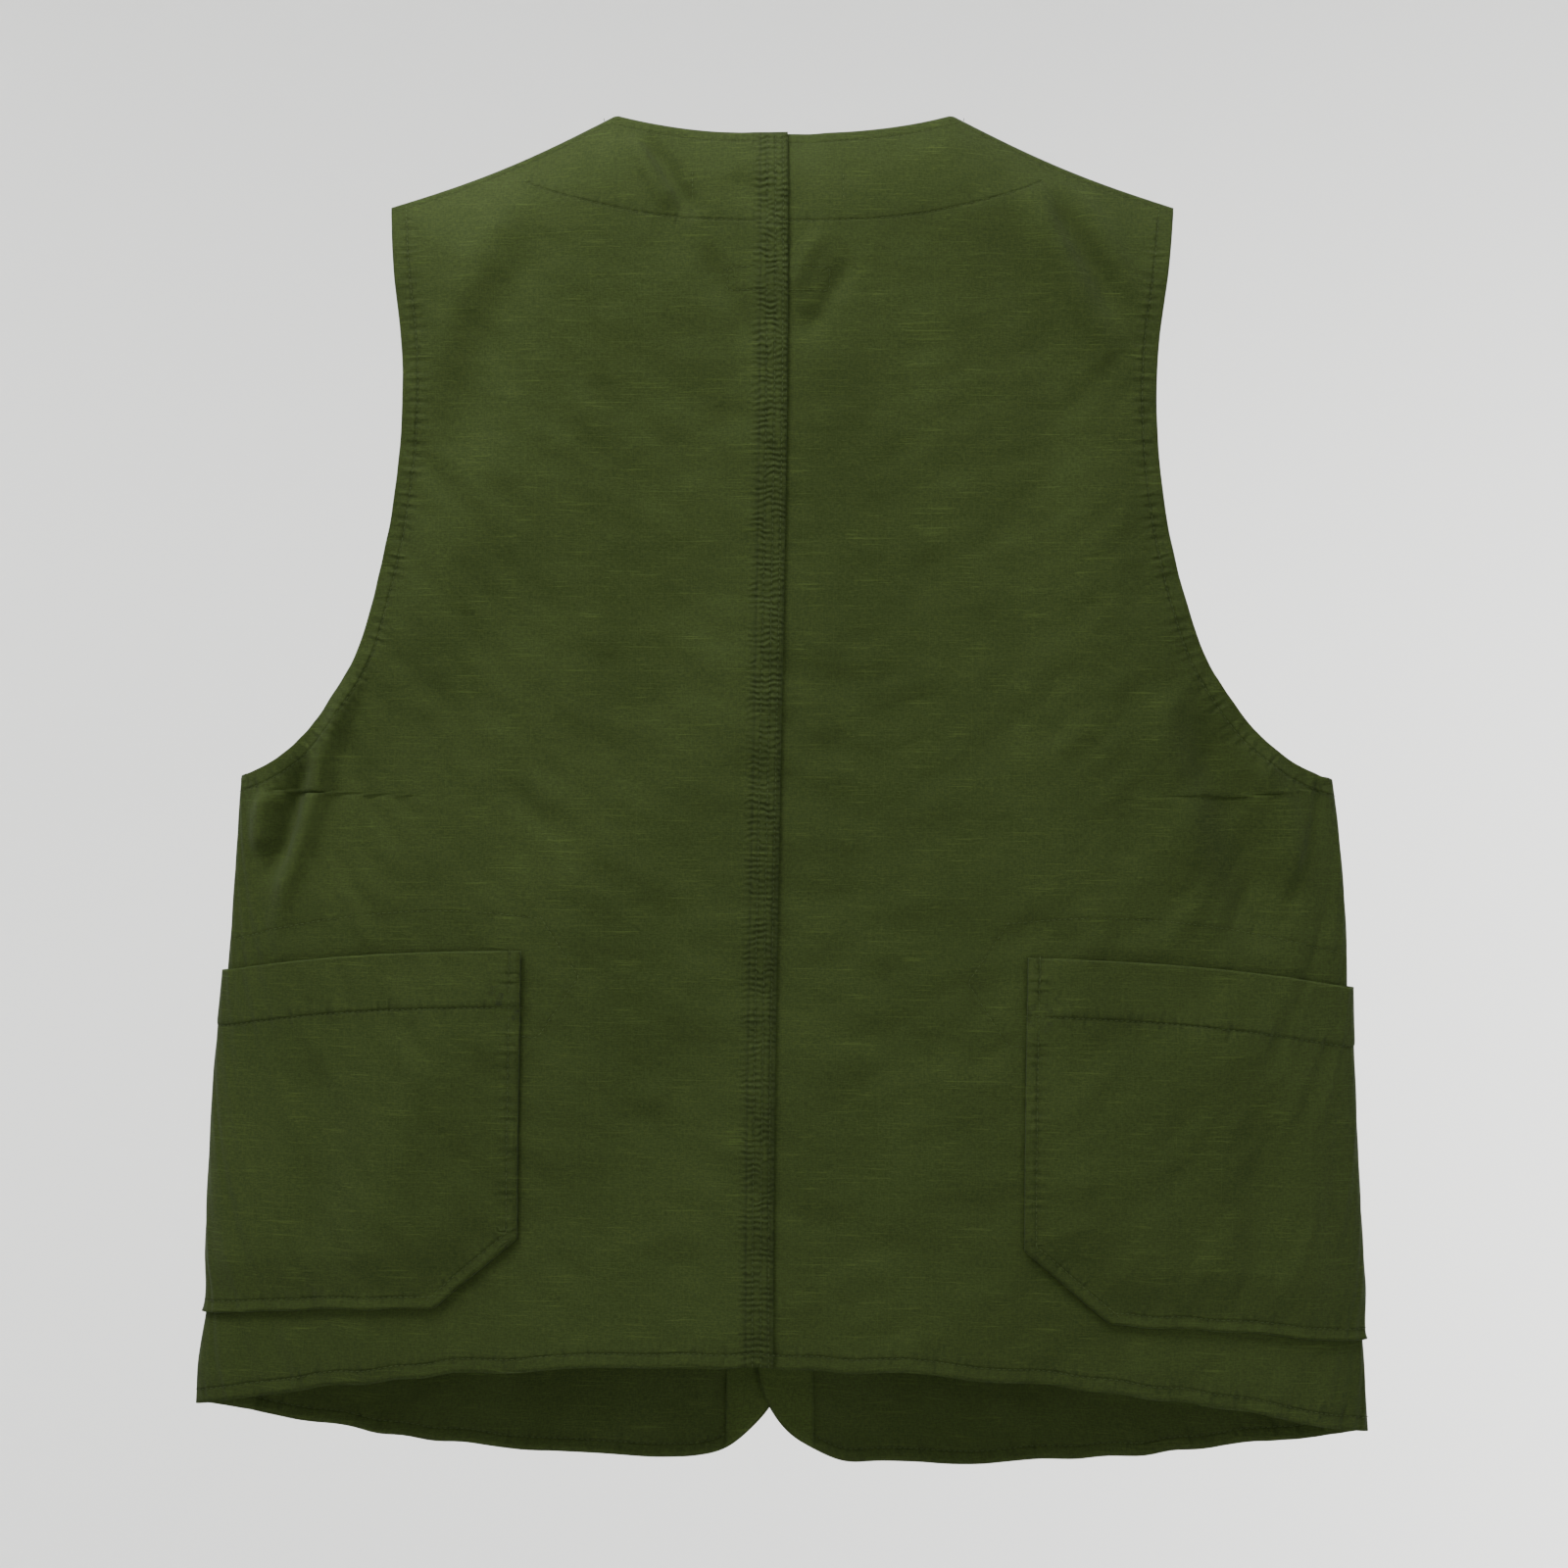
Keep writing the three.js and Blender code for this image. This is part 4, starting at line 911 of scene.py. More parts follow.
# ---------- operators ----------
class VEST_OT_stage(bpy.types.Operator):
    """Pale sweep, soft light and the camera, straight on to the back"""

    bl_idname = "vest.stage"
    bl_label = "Stage"

    def execute(self, context):
        """Make the stage."""
        settings = context.scene.vest
        make_materials(settings)
        profile = rounded_line([(0.05, -1.65), (1.6, -1.65), (2.35, -1.58), (2.9, -1.25), (3.15, -0.6), (3.2, 0.3),
                                (3.2, 1.5)], 8)
        turns = 72
        around = np.arange(turns) * 2 * np.pi / turns
        ring = np.stack([np.outer(profile[:, 0], np.cos(around)), np.outer(profile[:, 0], np.sin(around)),
                         np.repeat(profile[:, 1][:, None], turns, axis=1)], axis=-1)
        count = len(profile)
        faces = [(i * turns + j, i * turns + (j + 1) % turns, (i + 1) * turns + (j + 1) % turns, (i + 1) * turns + j)
                 for i in range(count - 1) for j in range(turns)]
        faces.append(tuple(range(turns - 1, -1, -1)))
        sweep = new_object("studio_sweep", ring.reshape(-1, 3), faces)
        paper = bpy.data.materials.new("backdrop_paper")
        paper.use_nodes = True
        shader = next(n for n in paper.node_tree.nodes if n.type == "BSDF_PRINCIPLED")
        shader.inputs["Base Color"].default_value = colour(settings.backdrop_colour)
        shader.inputs["Roughness"].default_value = 0.9
        shader.inputs["Specular IOR Level"].default_value = 0.1
        sweep.data.materials.append(paper)
        world = bpy.data.worlds.new("soft_room")
        world.use_nodes = True
        world.node_tree.nodes["Background"].inputs["Color"].default_value = (0.92, 0.96, 1.0, 1.0)
        world.node_tree.nodes["Background"].inputs["Strength"].default_value = 0.36
        context.scene.world = world
        centre = Vector((0, 0, -0.344))
        for name, place, size, power in (
            ("window_soft", (0.80, 0.72, 1.22), 0.7, 1.9), ("fill_soft", (-1.2, 2.3, -1.15), 1.4, 0.32),
            ("front_soft", (1.2, -2.2, 0.9), 2.0, 1.05), ("front_fill", (-1.9, -1.9, 0.1), 2.0, 0.5),
            ("top_soft", (-0.3, 0.62, 1.35), 1.0, 0.95),
        ):
            light = bpy.data.lights.new(name, "AREA")
            light.size, light.energy = size, settings.light_power * power
            lamp = bpy.data.objects.new(name, light)
            lamp.location = place
            lamp.rotation_mode = "QUATERNION"
            lamp.rotation_quaternion = (centre - lamp.location).to_track_quat("-Z", "Y")
            context.scene.collection.objects.link(lamp)
        for name, place, aim, power in (("wall_right", (-1.7, -1.3, -0.5), (-0.9, -3.2, -0.6), 70.0),
                                        ("wall_left", (1.7, -1.3, 0.2), (0.9, -3.2, -0.5), 18.0)):
            light = bpy.data.lights.new(name, "AREA")
            light.size, light.energy = 1.2, power
            lamp = bpy.data.objects.new(name, light)
            lamp.location = place
            lamp.rotation_mode = "QUATERNION"
            lamp.rotation_quaternion = (Vector(aim) - lamp.location).to_track_quat("-Z", "Y")
            context.scene.collection.objects.link(lamp)
        lens = bpy.data.cameras.new("photo_view")
        lens.sensor_width, lens.lens = 36.0, 72.0
        camera = bpy.data.objects.new("photo_view", lens)
        camera.location = (0.0, 1.63, centre.z)
        camera.rotation_mode = "QUATERNION"
        camera.rotation_quaternion = Vector((0, -1, 0)).to_track_quat("-Z", "Y")
        context.scene.collection.objects.link(camera)
        context.scene.camera = camera
        return {"FINISHED"}


class VEST_OT_back(bpy.types.Operator):
    """The two back panels, felled together down the centre"""

    bl_idname = "vest.back"
    bl_label = "Back panels"

    def execute(self, context):
        """Make both back panels."""
        for word, side in (("left", 1), ("right", -1)):
            self.panel(word, side)
        return {"FINISHED"}

    def panel(self, word, side):
        """One back panel."""
        edge_x = -CENTRE_EDGE_X if side > 0 else CENTRE_EDGE_X - CENTRE_LAP

        def bottom(u):
            angle = lerp(back_angle(edge_x, BACK_HEM_Z), np.pi / 2, u)
            return pair(angle, back_hem_z(HALF_HEM * np.sin(angle)))

        def top(u):
            angle = lerp(back_angle(edge_x, BACK_NECK_Z), back_angle(TIP_X, TIP_Z), u)
            return pair(angle, back_top_z(HALF_CHEST * np.sin(angle)))

        def inner(v):
            ends = [bottom(np.zeros(1))[0, 1], FOOT_Z - 42 * MM, top(np.zeros(1))[0, 1]]
            z = np.interp(v, [0, FOOT_ROW, 1], ends)
            return pair(back_angle(edge_x, z), z)

        def outer(v):
            x, z = outer_edge(v)
            return pair(back_angle(x, z), z)

        us = np.concatenate([np.linspace(0, 0.1, 9)[:-1], np.linspace(0.1, 0.93, 84)[:-1], np.linspace(0.93, 1, 12)])
        vs = body_rows(126, 134)
        layer = Layer(side, lambda a, z: side * LAYER / 2 * near_centre(half_width(z) * np.sin(a)))
        grid = patch(bottom, top, inner, outer, us, vs)
        fine = np.linspace(0, 1, 200)
        arm = outer(lerp(FOOT_ROW, 1, fine))
        hem, neck = bottom(fine), top(fine)
        arm_row = shifted(arm, -8 * MM)
        hem_row = shifted(hem, -7 * MM)
        neck_part = neck[HALF_CHEST * np.sin(neck[:, 0]) < NECK_X + 1 * MM]
        shoulder_part = neck[HALF_CHEST * np.sin(neck[:, 0]) > NECK_X]
        neck_row = shifted(neck_part, 5 * MM)
        rows = [(arm_row, 0.9), (hem_row, 0.9), (neck_row, 0.5), (shifted(shoulder_part, 3 * MM), 0.4)]
        for row, _ in rows:
            stitch_row(ROOT, layer, row)
        heights = np.linspace(BACK_HEM_Z + 1 * MM, BACK_NECK_Z - 1 * MM, 160)
        if side > 0:
            for off in FELL_ROWS:
                stitch_row(ROOT, layer, pair(back_angle(off, heights), heights))
        facing_x = np.linspace(0 if side > 0 else 1 * MM, 133 * MM, 60)
        facing_z = BACK_NECK_Z - 47 * MM + (facing_x / (135 * MM)) ** 3 * 26 * MM
        facing_z = np.minimum(facing_z, shoulder_z(facing_x) - 5 * MM)
        rows.append((pair(back_angle(facing_x, facing_z), facing_z), 0.6))
        stitch_row(ROOT, layer, rows[-1][0])
        for band in band_outline():
            rows.append((band, 0.3))
            stitch_row(ROOT, layer, band)
        for line in label_lines(side):
            rows.append((line, 0.3))
            stitch_row(ROOT, layer, line)
        cloth(f"back_{word}_cloth", layer, grid, rows, ROOT, [f"back_{word}_panel"],
              finish="felled_cloth" if side > 0 else "ripstop_cloth")


def band_outline():
    """Stitch lines of the inside waist band, on the positive side."""
    def at(x, z):
        return np.stack([back_angle(np.array(x) * MM, np.array(z) * MM), np.array(z) * MM], axis=-1)

    upper = rounded_line([(119, -414), (160, -411), (205, -413), (250, -420), (283, -428)], 8)
    point = np.array([(119, -414), (99, -444), (120, -476), (133, -475)], float)
    return [at(upper[:, 0], upper[:, 1]), at(*even_line(point, np.linspace(0, 1, 30)).T)]


def label_lines(side):
    """Stitching of the neck label's ends and of the size label."""
    def at(x, z):
        x, z = np.array(x, float) * MM, np.array(z, float) * MM
        return pair(back_angle(x, z), z)

    if side > 0:
        size = [(0, -79), (29, -79), (29, -91), (0, -91)]
        return [at([47, 47], [-31, -42.5]), at(*even_line(size, np.linspace(0, 1, 20)).T)]
    size = [(1, -79), (23.5, -79), (23.5, -91), (1, -91)]
    return [at([30.5, 30.5], [-32, -43]), at(*even_line(size, np.linspace(0, 1, 20)).T)]


class VEST_OT_fronts(bpy.types.Operator):
    """The two fronts, each one cloth across the line where it folds open"""

    bl_idname = "vest.fronts"
    bl_label = "Fronts"

    def execute(self, context):
        """Make both fronts."""
        for word, side, body in (("left", 1, LEFT), ("right", -1, RIGHT)):
            self.front(word, side, body)
        return {"FINISHED"}

    def front(self, word, side, body):
        """One front."""
        layer = front_layer(side)
        vs = np.unique(np.round(body_rows(100, 110), 6))
        start = float(front_angle(FOLD_HEM_X, FOLD_HEM_Z))

        def side_bottom(u):
            angle = lerp(start, np.pi / 2, u)
            return pair(angle, front_hem_z(HALF_HEM * np.sin(angle)))

        low = float(side_bottom(np.zeros(1))[0, 1])

        def fold(v):
            z = lerp(low, FOLD_TOP[1], v)
            return pair(front_angle(fold_x(z), z), z)

        def side_top(u):
            share = 0.38
            neck = even_line(FRONT_NECK, NECK_FOLD_SHARE * np.clip(1 - u / share, 0, 1))
            ends = float(front_angle(NECK_X, NECK_Z)), float(front_angle(TIP_X, TIP_Z))
            angle = lerp(*ends, (u - share) / (1 - share))
            over = pair(angle, shoulder_z(HALF_CHEST * np.sin(angle)))
            return np.where((u < share)[:, None], pair(front_angle(neck[:, 0], neck[:, 1]), neck[:, 1]), over)

        def outer(v):
            x, z = outer_edge(v)
            return pair(front_angle(x, z), z)

        side_us = steps((0, 0.93, 58), (0.93, 1, 10))
        side_grid = patch(side_bottom, side_top, fold, outer, side_us, vs)
        opening = opening_lines(0.0)
        open_us = steps((0, 0.5, 18), (0.5, 1, 34))
        open_grid = patch(*opening, open_us, vs)
        grid = np.concatenate([open_grid[:, ::-1], side_grid[:, 1:]], axis=1)
        fine = np.linspace(0, 1, 200)
        arm = outer(lerp(FOOT_ROW, 1, fine))
        hem = np.concatenate([opening[0](fine)[::-1], side_bottom(fine)[1:]])
        edge = opening[3](fine)
        neck = np.concatenate([opening[1](fine)[::-1], side_top(fine * 0.38)[1:]])
        shoulder = side_top(lerp(0.38, 1, fine))
        group = f"{word}_front_cloth"
        arm_row, hem_row = shifted(arm, 8 * MM), shifted(hem, 7 * MM)
        edge_row, neck_row = shifted(edge, -6.5 * MM), shifted(neck, -6.5 * MM)
        rows = [(arm_row, 0.9), (hem_row, 0.9), (edge_row, 0.8), (neck_row, 0.8), (shifted(shoulder, -3 * MM), 0.5)]
        for row, _ in rows:
            stitch_row(group, layer, row)
        stitch_row(group, layer, hem_row, inside=True)
        facing_row = shifted(edge, -(FACING_WIDTH - 2 * MM))
        rows.append((facing_row, 0.4))
        across = fold_blend(side, body)
        cloth(f"{word}_front_cloth", layer, grid, rows, across,
              [f"{word}_front_side", f"{word}_front_opening"])


def front_layer(side):
    """The front cloth's place, lapped near the centre."""
    return Layer(side, lambda a, z: lap_lift(side, half_width(z) * np.sin(a)))


def fold_blend(side, body):
    """Where a front bends: bodies, and the two points between which it turns."""
    centre = np.array([lerp(FOLD_TOP[0], FOLD_HEM_X, 0.5), -26.5 * MM, lerp(FOLD_TOP[1], FOLD_HEM_Z, 0.5)])
    down = np.array([FOLD_HEM_X - FOLD_TOP[0], 0, FOLD_HEM_Z - FOLD_TOP[1]])
    away = np.array([-down[2], 0, down[0]]) / np.hypot(down[0], down[2])
    mirror = np.array([side, 1, 1])
    start, end = (centre + away * 17 * MM) * mirror, (centre - away * 17 * MM) * mirror
    return ROOT, body, tuple(start), tuple(end)


def opening_lines(inset):
    """Outline of a front's folding share: four lines from the fold (0) to the front edge (1)."""
    hem_x = CUTAWAY_RADIUS - CUTAWAY_X

    def bottom(u):
        straight = lerp(FOLD_HEM_X, hem_x, np.clip(u / 0.5, 0, 1))
        turn = np.clip((u - 0.5) / 0.5, 0, 1) * np.pi / 2
        radius = CUTAWAY_RADIUS - inset
        x = np.where(u < 0.5, straight, hem_x - radius * np.sin(turn))
        z = np.where(u < 0.5, front_hem_z(straight) + inset, FRONT_HEM_Z + CUTAWAY_RADIUS - radius * np.cos(turn))
        return pair(front_angle(x, z), z)

    def top(u):
        neck = even_line(FRONT_NECK, lerp(NECK_FOLD_SHARE, 1, u))
        x, z = neck[:, 0] + inset * u, neck[:, 1] - inset
        return pair(front_angle(x, z), z)

    def inner(v):
        z = lerp(bottom(np.zeros(1))[0, 1], top(np.zeros(1))[0, 1], v)
        return pair(front_angle(fold_x(z), z), z)

    def outer(v):
        z = lerp(bottom(np.ones(1))[0, 1], top(np.ones(1))[0, 1], v)
        x = -lerp(CUTAWAY_X - inset, LAP - inset, smooth(v * 2))
        return pair(front_angle(x, z), z)

    return bottom, top, inner, outer


def pocket_lines():
    """Outline of a lower pocket: bottom, top, edge on the back, edge on the front."""
    def upright(v, x, angle_of):
        t = np.clip(v / 0.2, 0, 1)
        z = np.where(v < 0.2, lerp(POCKET["bottom"], POCKET["chamfer_z"], t),
                     lerp(POCKET["chamfer_z"], POCKET["top"], (v - 0.2) / 0.8))
        return pair(angle_of(x + POCKET["chamfer_x"] * (1 - t), z), z)

    def inner(v):
        return upright(v, POCKET["inner"], back_angle)

    def outer(v):
        return upright(v, POCKET["front"], front_angle)

    def edge(v, height):
        near, far = inner(np.array([v]))[0], outer(np.array([v]))[0]

        def line(u):
            angle = np.where(u < 0.5, lerp(near[0], np.pi / 2, u * 2), lerp(np.pi / 2, far[0], u * 2 - 1))
            ends = lerp(near[1] - height(near[0]), far[1] - height(far[0]), u)
            return pair(angle, height(angle) + ends)
        return line

    bottom = edge(0.0, lambda a: POCKET["bottom"] - POCKET["bottom_slope"] * np.sin(a) ** 3)
    top = edge(1.0, lambda a: POCKET["top"] - POCKET["top_slope"] * np.sin(a) ** 4)
    return bottom, top, inner, outer


class VEST_OT_lower_pockets(bpy.types.Operator):
    """The two big pockets wrapped round the side seams"""

    bl_idname = "vest.lower_pockets"
    bl_label = "Lower pockets"

    def execute(self, context):
        """Make both lower pockets."""
        lines = pocket_lines()
        fine = np.linspace(0, 1, 120)
        stitched = np.concatenate([lines[2](fine)[::-1], lines[0](fine)[1:], lines[3](fine)[1:]])
        laid = flat_line(stitched)
        mouth = lines[1](fine)
        hem_row = shifted(mouth, POCKET["hem"])

        def lift(angle, z):
            flat = np.stack([np.ravel(girth(angle, z)), np.ravel(z)], axis=-1)
            gap = np.abs(distance_to_line(flat, laid)[0]).reshape(np.shape(z))
            to_mouth = np.abs(distance_to_line(flat, flat_line(mouth))[0]).reshape(np.shape(z))
            base = 1.55 * MM + 0.8 * MM * np.exp(-gap / (2.2 * MM))
            full = 3.9 * MM * smooth((gap - 5 * MM) / (26 * MM)) * (0.55 + 0.45 * smooth(to_mouth / (60 * MM)))
            full = full * (1 - 0.6 * swell(angle, np.pi / 2, 0.35))
            hem = 0.5 * MM * smooth((POCKET["hem"] - to_mouth) / (1.5 * MM))
            return base + full + hem

        for word, side in (("left", 1), ("right", -1)):
            layer = Layer(side, lift)
            us = steps((0, 0.06, 9), (0.06, 0.42, 56), (0.42, 0.58, 40), (0.58, 0.94, 56), (0.94, 1, 9))
            vs = steps((0, 0.2, 24), (0.2, 0.8, 50), (0.8, 1, 30))
            grid = patch(*lines, us, vs)
            inner_row, outer_row = shifted(lines[2](fine), 5.8 * MM), shifted(lines[3](fine), -5.8 * MM)
            bottom_row = shifted(lines[0](fine), -5.8 * MM)
            rows = [(inner_row, 0.8), (outer_row, 0.8), (bottom_row, 0.9), (hem_row, 1.0)]
            for row, _ in rows:
                stitch_row(ROOT, layer, row, POCKET_CLOTH)
            down = fine[:12] * 0.11
            tack = pair(back_angle(POCKET["inner"] + 6 * MM + 0 * down, POCKET["top"] - down), -432 * MM - down)
            stitch_row(ROOT, layer, tack, 1.5 * MM)
            cloth(f"{word}_lower_pocket_cloth", layer, grid, rows, ROOT, [f"{word}_lower_pocket"],
                  thickness=POCKET_CLOTH)
        return {"FINISHED"}


def pocket_stitching(near, far, low, high, up, across, shares):
    """Stitch line 5 mm inside the sides and the foot of a pocket or flap, with its lower corners cut off."""
    edge = 5 * MM
    return even_line([(near + edge, high), (near + edge, low + up), (near + across, low + edge),
                      (far - across, low + edge), (far - edge, low + up), (far - edge, high)], shares)


class VEST_OT_chest_pockets(bpy.types.Operator):
    """The two chest pockets and their flaps"""

    bl_idname = "vest.chest_pockets"
    bl_label = "Chest pockets and flaps"

    def execute(self, context):
        """Make both chest pockets and flaps."""
        for word, side in (("left", 1), ("right", -1)):
            self.pocket(word, side)
            self.flap(word, side)
        return {"FINISHED"}

    def pocket(self, word, side):
        """One patch pocket."""
        near, far, low, high = CHEST["near"], CHEST["far"], CHEST["bottom"], CHEST["top"]

        def lift(angle, z):
            x = half_width(z) * np.sin(angle)
            gap = np.minimum(np.minimum(x - near, far - x), z - low)
            edge = 0.5 * MM * np.exp(-np.maximum(gap, 0) / (2 * MM))
            return 1.55 * MM + edge + 4.6 * MM * smooth((gap - 4 * MM) / (20 * MM))

        layer = Layer(side, lift)
        us, vs = np.linspace(0, 1, 60), np.linspace(0, 1, 66)
        cut = 10 * MM * np.clip(1 - vs / 0.1, 0, 1)
        x = lerp((near + cut)[:, None], (far - cut)[:, None], us[None])
        z = np.repeat(lerp(low, high, vs)[:, None], len(us), axis=1)
        grid = pair(front_angle(x, z), z)
        fine = np.linspace(0, 1, 80)
        outline = pocket_stitching(near, far, low, high, 12 * MM, 13 * MM, fine)
        hem = pair(front_angle(lerp(near, far, fine), high - 18 * MM + 0 * fine), high - 18 * MM + 0 * fine)
        rows = [(pair(front_angle(*outline.T), outline[:, 1]), 0.8), (hem, 0.6)]
        for row, _ in rows:
            stitch_row(ROOT, layer, row, POCKET_CLOTH)
        cloth(f"{word}_chest_pocket_cloth", layer, grid, rows, ROOT, [f"{word}_chest_pocket"],
              thickness=POCKET_CLOTH)

    def flap(self, word, side):
        """One pocket flap."""
        layer = flap_layer(side)
        near, far = CHEST["near"] - FLAP["over"], CHEST["far"] + FLAP["over"]
        us, vs = np.linspace(0, 1, 60), np.linspace(0, 1, 34)
        cut = FLAP["corner"] * np.clip(1 - vs * FLAP["height"] / FLAP["corner"], 0, 1)
        x = lerp((near + cut)[:, None], (far - cut)[:, None], us[None])
        z = np.repeat((FLAP["hinge"] - FLAP["height"] * (1 - vs))[:, None], len(us), axis=1)
        grid = pair(front_angle(x, z), z)
        fine = np.linspace(0, 1, 80)
        low, high, corner = FLAP["hinge"] - FLAP["height"], FLAP["hinge"], FLAP["corner"]
        outline = pocket_stitching(near, far, low, high, corner + 2 * MM, corner + 2 * MM, fine)
        top = pair(front_angle(lerp(near, far, fine), high - 6 * MM + 0 * fine), high - 6 * MM + 0 * fine)
        rows = [(pair(front_angle(*outline.T), outline[:, 1]), 0.8), (top, 0.6)]
        for row, _ in rows:
            stitch_row(f"{word}_flap", layer, row, FLAP_CLOTH)
        cloth(f"{word}_chest_flap_cloth", layer, grid, rows, f"{word}_flap", [f"{word}_chest_flap"],
              thickness=FLAP_CLOTH)


def flap_layer(side):
    """The flap's place: sewn at its top, resting on the pocket below the mouth."""
    def lift(angle, z):
        down = np.clip((FLAP["hinge"] - z) / (18 * MM), 0, 1)
        return lerp(LAYER, 9.4 * MM, smooth(down) * 0.5 + down * 0.5)
    return Layer(side, lift)


class VEST_OT_inside(bpy.types.Operator):
    """Facings, armhole bindings, waist bands and blank labels inside"""

    bl_idname = "vest.inside"
    bl_label = "Inside pieces"

    def execute(self, context):
        """Make every inside piece."""
        self.neck_facing()
        for word, side, body in (("left", 1, LEFT), ("right", -1, RIGHT)):
            self.front_facing(word, side, body)
            self.armhole_facing(word, side)
            self.waist_band(word, side)
        self.label("size_label", "size_label_cloth", -23.5, 29, -91, -79, 0)
        self.label("neck_label", "neck_label_cloth", -30.5, 47, -43.5, -31, 1.7 * MM)
        return {"FINISHED"}

    def neck_facing(self):
        """The facing inside the back neck."""
        end = float(back_angle(135 * MM, NECK_Z))
        us, vs = np.linspace(0, 1, 120), np.linspace(0, 1, 22)
        angle = lerp(-end, end, us)
        x = HALF_CHEST * np.sin(angle)
        high = np.minimum(back_top_z(x) - 1.2 * MM, shoulder_z(x) - 4 * MM)
        low = BACK_NECK_Z - 48 * MM + (np.abs(x) / (135 * MM)) ** 3 * 24 * MM
        low = np.minimum(low, high - 6 * MM)
        z = lerp(low[None], high[None], vs[:, None])
        layer = Layer(1, lambda a, q: lining_lift(half_width(q) * np.sin(a), q))
        edge = pair(angle, low + 2 * MM)
        cloth("back_neck_facing_cloth", layer, pair(angle[None] + 0 * z, z), [(edge, 0.6)], ROOT,
              ["back_neck_facing"], LINING_CLOTH, material="lining_cloth")

    def front_facing(self, word, side, body):
        """The facing inside a front edge."""
        lines = opening_lines(1.2 * MM)
        width = FACING_WIDTH / (FOLD_HEM_X + CUTAWAY_X)
        us, vs = np.linspace(1 - width, 1, 26), np.linspace(0, 1, 150)
        layer = Layer(side, lambda a, z: lap_lift(side, half_width(z) * np.sin(a)) - LINING_LAYER + 0.25 * MM)
        grid = patch(*lines, us, vs)
        fine = np.linspace(0, 1, 160)
        inner_edge = grid[:, 0]
        edge_row = shifted(lines[3](fine), -5.3 * MM)
        stitch_row(body, layer, edge_row, LINING_CLOTH, inside=True)
        cloth(f"{word}_front_facing_cloth", layer, grid, [(edge_row, 0.8), (inner_edge, 0.3)], body,
              [f"{word}_front_facing"], LINING_CLOTH, material="lining_cloth")

    def armhole_facing(self, word, side):
        """The bias binding inside an armhole, from the back foot over the shoulder to the front foot."""
        count = 90
        share = np.concatenate([lerp(0.03, 0.97, np.linspace(0, 1, count)), [1.0]])
        arm = even_line(ARMHOLE, share)
        tangent = np.gradient(arm, axis=0)
        tangent /= np.hypot(*tangent.T)[:, None]
        inward = np.stack([-tangent[:, 1], tangent[:, 0]], axis=-1)
        slope = np.array([-(TIP_X - NECK_X), 48 * MM])
        slope /= np.hypot(*slope)
        inward = inward + (slope - inward) * (share**4)[:, None]
        inward /= np.hypot(*inward.T)[:, None]
        widths = np.linspace(1.2 * MM, 22 * MM, 10)
        place = arm[:, None] + inward[:, None] * widths[None, :, None]
        x, z = place[..., 0], place[..., 1]
        layer = Layer(side, lambda a, q: lining_lift(half_width(q) * np.sin(a), q))
        back, out_back = layer.at(back_angle(x[:-1], z[:-1]), z[:-1])
        front, _ = layer.at(front_angle(x[:-1], z[:-1]), z[:-1])
        ridge = np.stack([side * x[-1], 0 * x[-1], shoulder_z(x[-1]) - 3.0 * MM], axis=-1)[None]
        points = np.concatenate([back, settle(ridge), front[::-1]])
        rows, columns = points.shape[:2]
        faces = grid_faces(rows, columns)
        quad = points.reshape(-1, 3)[faces[: (count - 1) * (columns - 1)]]
        normal = np.cross(quad[:, 1] - quad[:, 0], quad[:, 3] - quad[:, 0]).mean(axis=0)
        if normal @ out_back.reshape(-1, 3).mean(axis=0) < 0:
            faces = faces[:, ::-1]
        obj = new_object(f"{word}_armhole_binding", points.reshape(-1, 3), faces.tolist())
        run = np.concatenate([[0], np.cumsum(np.linalg.norm(np.diff(points[:, 0], axis=0), axis=1))])
        laid = pair(np.broadcast_to(widths[None], (rows, columns)), run[:, None]).reshape(-1, 2)
        write_cloth(obj, laid, laid[:, 0] - 8 * MM, laid[:, 1], np.ones(len(laid)), LINING_CLOTH, "lining_cloth")
        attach(obj, ROOT)
        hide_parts(f"{word}_armhole_facing")

    def waist_band(self, word, side):
        """The pointed band inside the back."""
        us, vs = np.linspace(0, 1, 70), np.linspace(0, 1, 26)
        drop = 7 * MM * us
        near = back_angle(lerp(99 * MM, 119 * MM, np.abs(2 * vs - 1)), lerp(-474 * MM, -412 * MM, vs))
        angle = lerp(near[:, None], math.radians(80), us[None])
        z = lerp(-474 * MM - drop[None], -412 * MM - drop[None], vs[:, None])
        layer = Layer(side, -LINING_LAYER)
        cloth(f"{word}_waist_band_cloth", layer, pair(angle, z), [], ROOT, [f"{word}_waist_band"],
              LINING_CLOTH, material="lining_cloth")

    def label(self, node, name, right, left, low, high, off):
        """A blank woven label."""
        us, vs = np.linspace(0, 1, 30), np.linspace(0, 1, 7)
        z = np.repeat(lerp(low * MM, high * MM, vs)[:, None], len(us), axis=1)
        x = np.repeat(lerp(right * MM, left * MM, us)[None], len(vs), axis=0)
        layer = Layer(1, lambda a, q: lining_lift(half_width(q) * np.sin(a), q) - off)
        cloth(name, layer, pair(back_angle(x, z), z), [], ROOT, [node], LABEL_CLOTH,
              material="label_cloth")


# share of the radius and share of the height, from the dish round the rim to the underside
BUTTON_PROFILE = ((0.0, 0.45), (0.30, 0.45), (0.52, 0.50), (0.66, 0.78), (0.78, 0.98), (0.90, 1), (0.98, 0.80),
                  (1, 0.5), (0.96, 0.18), (0.80, 0.02), (0.5, 0.0), (0.0, 0.0))


